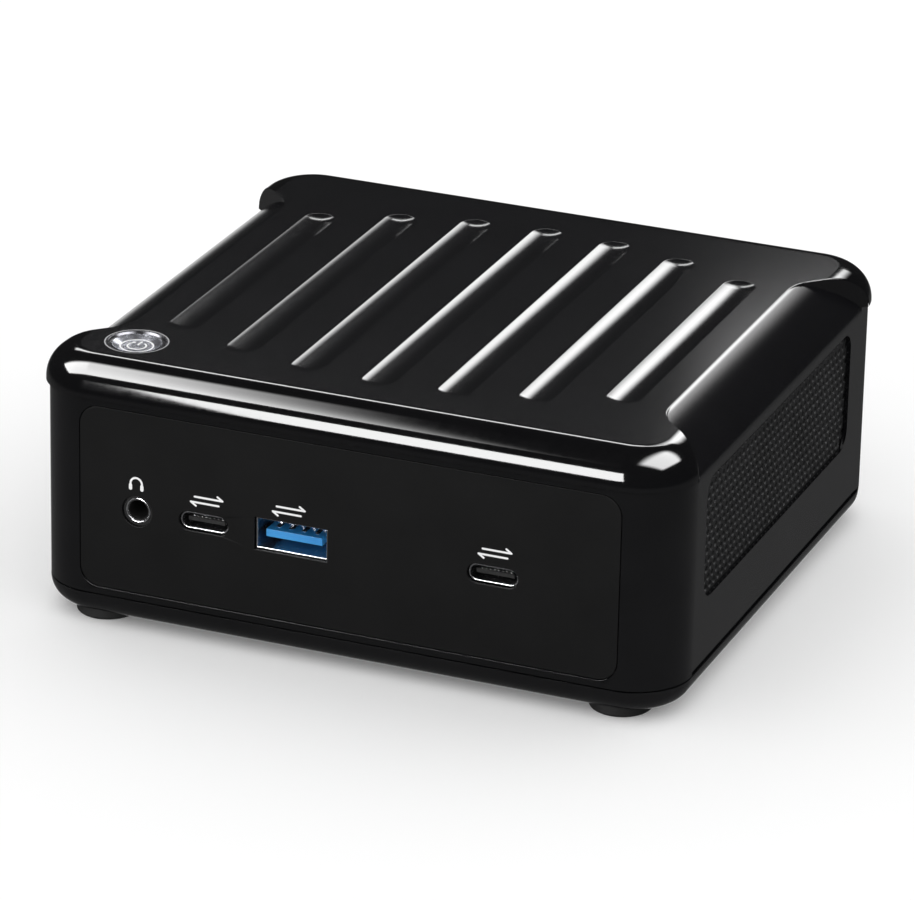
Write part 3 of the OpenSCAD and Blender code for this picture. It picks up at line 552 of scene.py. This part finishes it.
def recess(skin, side):
    """One side's sloping recess and the narrow round along its crease."""
    rows = []
    for number, x in enumerate(recess_columns()):
        z, normal = recess_height(x)
        if number == 0:
            normal = (normal + UP).normalized()
        n = (side * normal.x, 0, normal.z)
        low, high = recess_end(x, -1), recess_end(x, 1)
        if z < TOP_SEAM_Z:
            low = max(low, SEAM_RECESS_Y)
        rows.append([((side * x, low + (high - low) * i / RECESS_CELLS, z), n)
                     for i in range(RECESS_CELLS + 1)])
    skin.grid(rows, SATIN, group=1)
    slope_n = Vector((side * math.sin(CREASE_SLOPE), 0, math.cos(CREASE_SLOPE)))
    edge = (slope_n + UP).normalized()
    ends = (RECESS_Y[-1], RECESS_Y[1])
    upper = [((side * (CREASE_X - CREST), y, CASE_H), (0, 0, 1)) for y in ends]
    lower = [((side * CREASE_X, y, CASE_H), edge) for y in ends]
    skin.grid([upper, lower], SATIN)


def channel_profile():
    """A channel's section from rim to middle: (distance from the middle, height, normal)."""
    centre_z = CASE_H - CHANNEL_DEPTH + CHANNEL_R
    turn = math.asin(RIM_D / (CHANNEL_R + RIM_R))
    out = []
    for i in range(RIM_STEPS + 1):
        a = turn * i / RIM_STEPS
        out.append((RIM_D - RIM_R * math.sin(a), CASE_H - RIM_R + RIM_R * math.cos(a),
                    (-math.sin(a), math.cos(a))))
    for i in range(1, FLOOR_STEPS + 1):
        a = turn * (1 - i / FLOOR_STEPS)
        out.append((CHANNEL_R * math.sin(a), centre_z - CHANNEL_R * math.cos(a),
                    (-math.sin(a), math.cos(a))))
    return out


def channel(skin, x):
    """One channel with round ends; returns (x, reach of its straight part, its rim)."""
    reach = CHANNEL_HALF - CHANNEL_END_ARC + math.sqrt(CHANNEL_END_ARC ** 2 - x * x) - CHANNEL_W / 2
    heads = [(math.pi * i / HEAD_STEPS, CHANNEL_MID_Y + reach) for i in range(HEAD_STEPS + 1)]
    heads += [(math.pi + math.pi * i / HEAD_STEPS, CHANNEL_MID_Y - reach) for i in range(HEAD_STEPS + 1)]
    heads.append(heads[0])
    rows = []
    for d, z, (lean, rise) in channel_profile():
        rows.append([((x + d * math.cos(a), y + d * math.sin(a), z),
                      (lean * math.cos(a), lean * math.sin(a), rise)) for a, y in heads])
    skin.grid(rows, SATIN)
    return x, reach, [Vector(p[:2]) for p, _ in rows[0][:-1]]


def top_flat(skin, borders, rims, slack=0.01):
    """The flat of the top between the round edges, recesses, channels and button ring."""
    outline = []
    for end, side in ((-1, 1), (-1, -1), (1, -1), (1, 1)):
        crest = [p + CREST * away for p, away in crest_points(end, [])]
        quarter = [Vector((side * p.x, p.y)) for p in crest] + borders[(end, side)]
        outline += quarter if end == -side else quarter[::-1][1:]
    ring = []
    for i in range(RING_SIDES):
        a = math.tau * i / RING_SIDES
        ring.append(BUTTON + RING_R * Vector((math.cos(a), math.sin(a))))

    def on_flat(c):
        for x, reach, _ in rims:
            along = max(abs(c.y - CHANNEL_MID_Y) - reach, 0)
            if math.hypot(c.x - x, along) < RIM_D - slack:
                return False
        if (c - BUTTON).length < RING_R - slack:
            return False
        if band_height(c.x, c.y)[0] < CASE_H - 1e-4:
            return False
        x = abs(c.x)
        if x <= CREASE_X - CREST:
            return True
        return not recess_end(x, -1, CREST) < c.y < recess_end(x, 1, CREST)

    loops = [outline, ring] + [rim for _, _, rim in rims]
    skin.flat(loops, lambda c: (c.x, c.y, CASE_H), (0, 0, 1), on_flat, SATIN)


def top_cover_skin():
    skin = Skin()
    borders = {}
    for end in (-1, 1):
        for side in (-1, 1):
            crest = crest_points(end, EDGE_REACHES)
            borders[(end, side)] = edge_quarter(skin, end, side, crest)
            crest_strip(skin, side, crest)
    for side in (-1, 1):
        recess(skin, side)
    rims = [channel(skin, (number - (CHANNELS - 1) / 2) * CHANNEL_PITCH) for number in range(CHANNELS)]
    top_flat(skin, borders, rims)
    return skin


def make_top_cover():
    skin = top_cover_skin()
    mesh = skin.mesh("skin")
    normals = [skin.normals[i].normalized() for poly in mesh.polygons for i in poly.vertices]
    tree = BVHTree.FromPolygons([v.co for v in mesh.vertices], [tuple(p.vertices) for p in mesh.polygons])
    kept, kept_normals = without_skin(NODES["top_cover"].data, tree, GLOSS)
    whole = merge("top_cover_skin", [(mesh, normals), (kept, kept_normals)])
    piece = add_piece("top_cover_skin", whole, ["top", "gloss"])
    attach(piece, "case")
    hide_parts("top_cover")


make_top_cover()


# ---- parts with softened edges ----

def weigh_normals(piece):
    """Lets large faces rule the shading, so that only the narrow rounds look rounded."""
    weigh = piece.modifiers.new("weigh", "WEIGHTED_NORMAL")
    weigh.mode = "FACE_AREA"
    weigh.weight = 100


def soften(name, finish, width, body="case", segments=2, sharp=25, flat=0.3):
    """Replaces a CAD node by the same shape with every sharp edge rounded a little; angles in degrees."""
    bm = bmesh.new()
    bm.from_mesh(NODES[name].data)
    bmesh.ops.remove_doubles(bm, verts=bm.verts, dist=1e-6)
    bmesh.ops.dissolve_limit(bm, angle_limit=math.radians(flat), verts=bm.verts, edges=bm.edges)
    edges = [e for e in bm.edges if len(e.link_faces) == 2 and e.calc_face_angle(0) > math.radians(sharp)]
    bmesh.ops.bevel(bm, geom=edges, offset=width * MM, segments=segments, profile=0.5, affect="EDGES",
                    clamp_overlap=True)
    bmesh.ops.triangulate(bm, faces=[f for f in bm.faces if len(f.verts) > 4])
    mesh = bpy.data.meshes.new(f"{name}_soft")
    bm.to_mesh(mesh)
    bm.free()
    mesh.polygons.foreach_set("use_smooth", [True] * len(mesh.polygons))
    piece = add_piece(f"{name}_soft", mesh, [finish])
    weigh_normals(piece)
    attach(piece, body)
    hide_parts(name)


soften("front_bezel", "gloss", 0.2)
soften("rear_bezel", "gloss", 0.2)
soften("bottom_cover", "base", 0.2, "base")
soften("front_panel", "panel", 0.1)
soften("rear_io_plate", "plate", 0.08)
soften("usb_a_shell", "nickel", 0.1)
soften("usb_c_left_shell", "nickel", 0.1)
soften("usb_c_right_shell", "nickel", 0.1)
soften("audio_jack", "rubber", 0.2, segments=3)
soften("power_button_ring", "ring", 0.12)
soften("feet", "rubber", 0.1, "base")
soften("hdmi_shells", "nickel", 0.1)
soften("lan_sockets", "nickel", 0.1)
soften("rear_usb_shell", "nickel", 0.1)
soften("dc_jack", "black", 0.15)


# ---- side meshes ----

MESH_Y = (-37.6, 37.0)
MESH_Z = (17.2, 39.1)
MESH_GROW = 1.15
MESH_R = 3.5
MESH_X = (56.2, 57.0)
HOLE_PITCH_Y = 2.0
HOLE_PITCH_Z = 1.65
HOLE_R = 0.72
HOLE_EDGE = 0.04
HOLE_ROOM = 0.3
HEX_INSIDE = 0.85
MESH_LOW = (MESH_Y[0] - MESH_GROW, MESH_Z[0] - MESH_GROW)
MESH_HIGH = (MESH_Y[1] + MESH_GROW, MESH_Z[1] + MESH_GROW)


def rounded_outline(low, high, r, steps=8):
    """Points round a rectangle with round corners."""
    out = []
    left, right = low[0] + r, high[0] - r
    lower, upper = low[1] + r, high[1] - r
    for quarter, (u, v) in enumerate(((right, upper), (left, upper), (left, lower), (right, lower))):
        for i in range(steps + 1):
            a = math.pi / 2 * (quarter + i / steps)
            out.append(Vector((u + r * math.cos(a), v + r * math.sin(a))))
    return out


def inside_rounded(c, low, high, r):
    """Whether a place lies inside a rectangle with round corners."""
    middle = (Vector(low) + Vector(high)) / 2
    half = (Vector(high) - Vector(low)) / 2
    over = Vector((max(abs(c.x - middle.x) - half.x + r, 0), max(abs(c.y - middle.y) - half.y + r, 0)))
    return over.length < r


def mesh_holes():
    """Middles of the staggered holes."""
    low = Vector(MESH_LOW)
    high = Vector(MESH_HIGH)
    middle = (low + high) / 2
    room = Vector((1, 1)) * (HOLE_R + HOLE_ROOM)
    rows = int((high.y - low.y) / HOLE_PITCH_Z) + 1
    columns = int((high.x - low.x) / HOLE_PITCH_Y) + 2
    out = []
    for row in range(-rows // 2, rows // 2 + 1):
        for column in range(-columns // 2, columns // 2 + 1):
            shift = 0.5 * (row % 2)
            c = middle + Vector(((column + shift) * HOLE_PITCH_Y, row * HOLE_PITCH_Z))
            if inside_rounded(c, low + room, high - room, MESH_R - 0.5):
                out.append(c)
    return out


def hexagon(c, r):
    """Corners of a six-sided hole."""
    return [c + r * Vector((math.sin(math.tau * i / 6), math.cos(math.tau * i / 6))) for i in range(6)]


def cell_of(c):
    """Key of the cell that a place lies in, for finding the holes near it."""
    return round(c.x / HOLE_PITCH_Y), round(c.y / HOLE_PITCH_Z)


def side_mesh(side, node):
    """A sheet with staggered six-sided holes whose outer edges are broken."""
    skin = Skin()
    outline = rounded_outline(MESH_LOW, MESH_HIGH, MESH_R)
    holes = mesh_holes()
    cells = {}
    for c in holes:
        cells.setdefault(cell_of(c), []).append(c)

    def solid(place, r):
        column, row = cell_of(place)
        for u in (-1, 0, 1):
            for v in (-1, 0, 1):
                near = cells.get((column + u, row + v), [])
                if any((place - c).length < HEX_INSIDE * r for c in near):
                    return False
        return inside_rounded(place, MESH_LOW, MESH_HIGH, MESH_R + 0.01)

    def at(x, p):
        return (side * x, p.x, p.y)

    inner_x, outer_x = MESH_X
    sheets = ((outer_x, HOLE_R + HOLE_EDGE, side, 0), (inner_x, HOLE_R, -side, 1))
    for x, r, face, group in sheets:
        loops = [outline] + [hexagon(c, r) for c in holes]
        skin.flat(loops, lambda p: at(x, p), (face, 0, 0), lambda p: solid(p, r), 0, group)
    levels = ((outer_x, HOLE_R + HOLE_EDGE, 1.0), (outer_x - HOLE_EDGE, HOLE_R, 0.0), (inner_x, HOLE_R, 0.0))
    for number, c in enumerate(holes):
        rows = []
        for x, r, lean in levels:
            corners = hexagon(c, r)
            corners.append(corners[0])
            rows.append([(at(x, p), (side * lean, (c - p).x, (c - p).y)) for p in corners])
        skin.grid(rows, 0, len(sheets) + number)
    middle = (Vector(MESH_LOW) + Vector(MESH_HIGH)) / 2
    rim = outline + outline[:1]
    rows = [[(at(x, p), (0, (p - middle).x, (p - middle).y)) for p in rim] for x in MESH_X]
    skin.grid(rows, 0, len(sheets) + len(holes))
    piece = add_piece(f"{node}_holes", skin.mesh(node), ["mesh"])
    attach(piece, "case")
    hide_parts(node)


side_mesh(-1, "side_mesh_left")
side_mesh(1, "side_mesh_right")


# ---- printed signs ----

PRINT_Y = -53.49
PRINT_STEP = 0.002
STROKE = 0.36
LINK_SIGNS = ((-25.2, 26.6), (-10.2, 27.5), (26.8, 26.6))
HEADPHONE_SIGN = (-38.2, 27.5)
HEADPHONE_R = 1.05
CAP_MIDDLE_R = 3
CAP_MIDDLE_Z = CASE_H - 0.9


def ribbon(skin, path, width, lift, normal, layer=0):
    """A flat printed line with round ends; lift places a 2-D point of a layer in space."""
    half = width / 2
    end_steps = 8
    path = [Vector(p) for p in path]
    ways = [(b - a).normalized() for a, b in zip(path, path[1:])]
    closed = (path[0] - path[-1]).length < 1e-6
    left, right = [], []
    for number, c in enumerate(path):
        before = ways[number - 1] if number or closed else ways[0]
        after = ways[number] if number < len(ways) else (ways[0] if closed else ways[-1])
        way = (before + after).normalized()
        across = Vector((-way.y, way.x)) * half
        left.append((lift(c + across, layer), normal))
        right.append((lift(c - across, layer), normal))
    skin.grid([left, right], 0, layer)
    if closed:
        return
    for c, way in ((path[0], -ways[0]), (path[-1], ways[-1])):
        start = math.atan2(way.y, way.x) - math.pi / 2
        turns = [start + math.pi * i / end_steps for i in range(end_steps + 1)]
        ring = [c + half * Vector((math.cos(a), math.sin(a))) for a in turns]
        skin.face([skin.vertex(lift(p, layer), normal, layer) for p in ring], 0, Vector(normal))


def arc(c, r, start, end, steps=20):
    """Points along a part of a circle, angles in degrees."""
    angles = [math.radians(start + (end - start) * i / steps) for i in range(steps + 1)]
    return [(c[0] + r * math.cos(a), c[1] + r * math.sin(a)) for a in angles]


def link_sign(x, z):
    """Two half arrows that point opposite ways, for a port that carries data both ways."""
    half_gap, tail, reach = 0.5, 2.2, 2.9
    barb_back, barb_out = 0.9, 0.62
    paths = []
    for way in (-1, 1):
        level = z + way * half_gap
        tip = x + way * reach
        paths.append([(x - way * tail, level), (tip, level)])
        paths.append([(tip - way * barb_back, level + way * barb_out), (tip, level)])
    return paths


def make_prints():
    """Link signs over the data ports and a headphone sign over the audio jack."""
    skin = Skin()
    front = (0, -1, 0)

    def on_panel(p, layer):
        return (p.x, PRINT_Y - PRINT_STEP * (layer % 2), p.y)

    paths = [path for x, z in LINK_SIGNS for path in link_sign(x, z)]
    paths.append(arc(HEADPHONE_SIGN, HEADPHONE_R, -20, 200))
    for layer, path in enumerate(paths):
        ribbon(skin, path, STROKE, on_panel, front, layer)
    for way in (-1, 1):
        ear = HEADPHONE_SIGN[0] + way * HEADPHONE_R
        cushion = [(ear, HEADPHONE_SIGN[1] - 0.35), (ear, HEADPHONE_SIGN[1] - 0.95)]
        ribbon(skin, cushion, 0.6, on_panel, front, len(paths))
    piece = add_piece("panel_prints", skin.mesh("panel_prints"), ["print"])
    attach(piece, "case")


def make_button_sign():
    """A broken circle with a bar in its gap, and a line round the cap's flat middle."""
    skin = Skin()

    def on_cap(p, _):
        return (BUTTON.x + p.x, BUTTON.y + p.y, CAP_MIDDLE_Z + 0.02)

    up = (0, 0, 1)
    ribbon(skin, arc((0, 0), 1.6, 125, 415, 30), 0.34, on_cap, up, 0)
    ribbon(skin, [(0, 0.5), (0, 1.95)], 0.34, on_cap, up, 1)
    ribbon(skin, arc((0, 0), CAP_MIDDLE_R - 0.2, 0, 360, 48), 0.3, on_cap, up, 2)
    piece = add_piece("button_sign", skin.mesh("button_sign"), ["print"])
    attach(piece, "button")


def make_ring_painted_highlight():
    """A painted highlight: a bright line round the outer edge of the button's ring, standing in for the
    light that edge catches.
    """
    skin = Skin()

    def on_ring(p, _):
        return (BUTTON.x + p.x, BUTTON.y + p.y, CASE_H - 0.08)

    ribbon(skin, arc((0, 0), RING_R - 0.25, 0, 360, 72), 0.2, on_ring, (0, 0, 1))
    piece = add_piece("ring_painted_highlight", skin.mesh("ring_painted_highlight"), ["line"])
    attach(piece, "case")


make_prints()
make_button_sign()
make_ring_painted_highlight()


# ---- details in the front ports ----

PORT_MOUTH_Y = -52.8
PORT_Z = 22.4
AUDIO_X = -38.1
USB_A_X = -9.85
USB_C_XS = (-25.8, 26.4)


def blocks(name, boxes, finishes, edge=0.06):
    """Boxes with broken edges, each (low corner, high corner, number of its finish)."""
    bm = bmesh.new()
    for low, high, finish in boxes:
        low, high = Vector(low), Vector(high)
        size = high - low
        made = bmesh.ops.create_cube(bm, size=1)
        bmesh.ops.scale(bm, vec=size * MM, verts=made["verts"])
        bmesh.ops.translate(bm, vec=(low + size / 2) * MM, verts=made["verts"])
        for face in {f for v in made["verts"] for f in v.link_faces}:
            face.material_index = finish
    bmesh.ops.bevel(bm, geom=bm.edges[:], offset=edge * MM, segments=2, profile=0.5, affect="EDGES",
                    clamp_overlap=True)
    mesh = bpy.data.meshes.new(name)
    bm.to_mesh(mesh)
    bm.free()
    mesh.polygons.foreach_set("use_smooth", [True] * len(mesh.polygons))
    piece = add_piece(name, mesh, finishes)
    weigh_normals(piece)
    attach(piece, "case")
    return piece


def make_usb_a_tongue():
    """The wide port's tongue with its back wall, four flat contacts and five raised ones behind."""
    x, y, z = USB_A_X, PORT_MOUTH_Y, PORT_Z
    blue, black, metal = range(3)
    boxes = [((x - 5.1, y + 0.9, z - 0.85), (x + 5.1, y + 10.4, z + 0.5), blue),
             ((x - 6.2, y + 10.4, z - 2.5), (x + 6.2, y + 13.2, z + 2.5), black)]
    for i in range(4):
        pad_x = x - 3.5 + i * 7.0 / 3
        boxes.append(((pad_x - 0.5, y + 2.2, z + 0.4), (pad_x + 0.5, y + 9.5, z + 0.56), metal))
    for i in range(5):
        pad_x = x - 4 + i * 2
        boxes.append(((pad_x - 0.35, y + 4.5, z + 0.4), (pad_x + 0.35, y + 9.5, z + 1.0), metal))
    piece = blocks("usb_a_tongue_detail", boxes, ["blue", "black", "nickel"])
    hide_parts("usb_a_tongue")


def make_usb_c_pads():
    """A row of contacts on the tongue of each small port."""
    pads, row_w, half_w = 8, 5.2, 0.16
    y, z = PORT_MOUTH_Y, PORT_Z
    for number, x in enumerate(USB_C_XS):
        boxes = []
        for i in range(pads):
            pad_x = x - row_w / 2 + i * row_w / (pads - 1)
            boxes.append(((pad_x - half_w, y + 1.3, z + 0.3), (pad_x + half_w, y + 4.5, z + 0.38), 0))
        blocks(f"usb_c_pads_{number}", boxes, ["nickel"], 0.02)


def make_audio_rim():
    """A bright sleeve, half round in section, inside the mouth of the audio jack."""
    sleeve_r, section_r = 2.15, 0.22
    section_steps, turn_steps = 8, 48
    skin = Skin()
    rows = []
    for i in range(section_steps + 1):
        a = math.pi * i / section_steps
        r = sleeve_r + section_r * math.cos(a)
        y = PORT_MOUTH_Y + 0.05 - section_r * math.sin(a)
        row = []
        for k in range(turn_steps + 1):
            b = math.tau * k / turn_steps
            normal = (math.cos(a) * math.cos(b), -math.sin(a), math.cos(a) * math.sin(b))
            row.append(((AUDIO_X + r * math.cos(b), y, PORT_Z + r * math.sin(b)), normal))
        rows.append(row)
    skin.grid(rows)
    piece = add_piece("audio_rim", skin.mesh("audio_rim"), ["nickel"])
    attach(piece, "case")


make_usb_a_tongue()
make_usb_c_pads()
make_audio_rim()


# ---- stage ----

BACKDROP_WAY = Vector((-0.37, 0.85, -0.42)).normalized()
SOFT_EDGE = (0.1, 0.1, 0.1, 0.1)


def make_floor():
    mesh = bpy.data.meshes.new("floor")
    half = 15  # metres
    corners = [(-half, -half, 0), (half, -half, 0), (half, half, 0), (-half, half, 0)]
    mesh.from_pydata(corners, [], [(0, 1, 2, 3)])
    floor = bpy.data.objects.new("floor", mesh)
    bpy.context.scene.collection.objects.link(floor)
    mat, tree, shader = new_material("pale_floor")
    shader.inputs["Base Color"].default_value = (0.93, 0.93, 0.93, 1)
    shader.inputs["Roughness"].default_value = 1.0
    shader.inputs["Specular IOR Level"].default_value = 0.0
    shader.inputs["Emission Color"].default_value = (1, 1, 1, 1)
    shader.inputs["Emission Strength"].default_value = 0.12
    mesh.materials.append(mat)
    floor.visible_glossy = False


def make_world():
    """White to the eye and to matt surfaces; to polished ones dark, with a backdrop and a dim ground."""
    world = bpy.data.worlds.new("studio")
    bpy.context.scene.world = world
    world.use_nodes = True
    tree = world.node_tree
    back = tree.nodes["Background"]
    path = tree.nodes.new("ShaderNodeLightPath")
    coord = tree.nodes.new("ShaderNodeTexCoord")
    toward = tree.nodes.new("ShaderNodeVectorMath")
    toward.operation = "DOT_PRODUCT"
    toward.inputs[1].default_value = BACKDROP_WAY
    tree.links.new(coord.outputs["Generated"], toward.inputs[0])
    backdrop = map_range(tree, toward.outputs["Value"], (0.94, 0.985), (0.02, 0.9))
    split = tree.nodes.new("ShaderNodeSeparateXYZ")
    tree.links.new(coord.outputs["Generated"], split.inputs["Vector"])
    ground = map_range(tree, split.outputs["Z"], (-0.1, -0.28), (0.015, 0.12))
    mix = tree.nodes.new("ShaderNodeMix")
    mix.inputs["B"].default_value = 1.0
    matt = combine(tree, "SUBTRACT", 1.0, path.outputs["Is Glossy Ray"])
    tree.links.new(matt, mix.inputs["Factor"])
    tree.links.new(combine(tree, "MAXIMUM", backdrop, ground), mix.inputs["A"])
    tree.links.new(mix.outputs["Result"], back.inputs["Strength"])
    back.inputs["Color"].default_value = (1, 1, 1, 1)


def softbox(name, at, size, strength, toward=None, fade=SOFT_EDGE, spin=0.0):
    """A glowing card, seen only in polished surfaces, that faces straight down unless told where to look.

    Places and sizes are in millimetres and spin is in degrees. Fade is the share of the card over which
    it dims towards its low and high side in x, then its low and high side in y.
    """
    mesh = bpy.data.meshes.new(name)
    w, h = size[0] / 2 * MM, size[1] / 2 * MM
    mesh.from_pydata([(-w, -h, 0), (w, -h, 0), (w, h, 0), (-w, h, 0)], [], [(0, 1, 2, 3)])
    obj = bpy.data.objects.new(name, mesh)
    obj.location = Vector(at) * MM
    aim = (Vector(toward or (at[0], at[1], 0)) - Vector(at)).to_track_quat("-Z", "Y")
    obj.rotation_euler = (aim.to_matrix() @ Matrix.Rotation(math.radians(spin), 3, "Z")).to_euler()
    bpy.context.scene.collection.objects.link(obj)
    mesh.materials.append(card_glow(name, strength, fade))
    obj.visible_camera = False
    obj.visible_diffuse = False
    obj.visible_shadow = False


def card_glow(name, strength, fade):
    """Light that dims softly towards the edges of its card."""
    narrowest = 0.001
    mat = bpy.data.materials.new(name)
    mat.use_nodes = True
    tree = mat.node_tree
    tree.nodes.clear()
    out = tree.nodes.new("ShaderNodeOutputMaterial")
    glow = tree.nodes.new("ShaderNodeEmission")
    coord = tree.nodes.new("ShaderNodeTexCoord")
    split = tree.nodes.new("ShaderNodeSeparateXYZ")
    tree.links.new(coord.outputs["Generated"], split.inputs["Vector"])
    value = strength
    for axis, low, high in (("X", fade[0], fade[1]), ("Y", fade[2], fade[3])):
        for start, end in ((0.0, max(low, narrowest)), (1.0, 1.0 - max(high, narrowest))):
            edge = map_range(tree, split.outputs[axis], (start, end), (0.0, 1.0))
            value = combine(tree, "MULTIPLY", value, edge)
    tree.links.new(value, glow.inputs["Strength"])
    tree.links.new(glow.outputs["Emission"], out.inputs["Surface"])
    return mat


CAMERA_AT = Vector((331.88, -841.16, 394.82)) * MM
CAMERA_AIM = Vector((-1.424, 0, 19.956)) * MM
CAMERA_ROLL = math.radians(1.259)
CAMERA_LENS = 220.64


def make_camera():
    data = bpy.data.cameras.new("camera")
    data.sensor_fit = "HORIZONTAL"
    data.sensor_width = 36
    data.lens = CAMERA_LENS
    data.clip_start = 0.01
    data.clip_end = 100
    cam = bpy.data.objects.new("camera", data)
    aim = (CAMERA_AIM - CAMERA_AT).to_track_quat("-Z", "Y").to_matrix()
    cam.rotation_euler = (aim @ Matrix.Rotation(CAMERA_ROLL, 3, "Z")).to_euler()
    cam.location = CAMERA_AT
    bpy.context.scene.collection.objects.link(cam)
    bpy.context.scene.camera = cam


make_floor()
make_world()
make_camera()
softbox("over_left", at=(-525, -195, 500), size=(750, 470), strength=20.0, fade=(0.05, 0.18, 0.01, 0.2))
softbox("front_left", at=(-125, -520, 195), size=(215, 225), strength=22.0, toward=(0, -50, 45),
        fade=(0.01, 0.01, 0.01, 0.01), spin=12)
softbox("rear_strip", at=(-280, 565, 500), size=(560, 150), strength=8.0, fade=(0.02, 0.1, 0.1, 0.1))
softbox("over_right", at=(335, 0, 500), size=(530, 600), strength=18.0, fade=(0.2, 0.2, 0.2, 0.2))
softbox("rear_card", at=(13, 300, 235), size=(163, 140), strength=9.5, toward=(13, 0, 235),
        fade=(0.54, 0.4, 0.1, 0.1))
bpy.context.scene.view_settings.view_transform = "Standard"
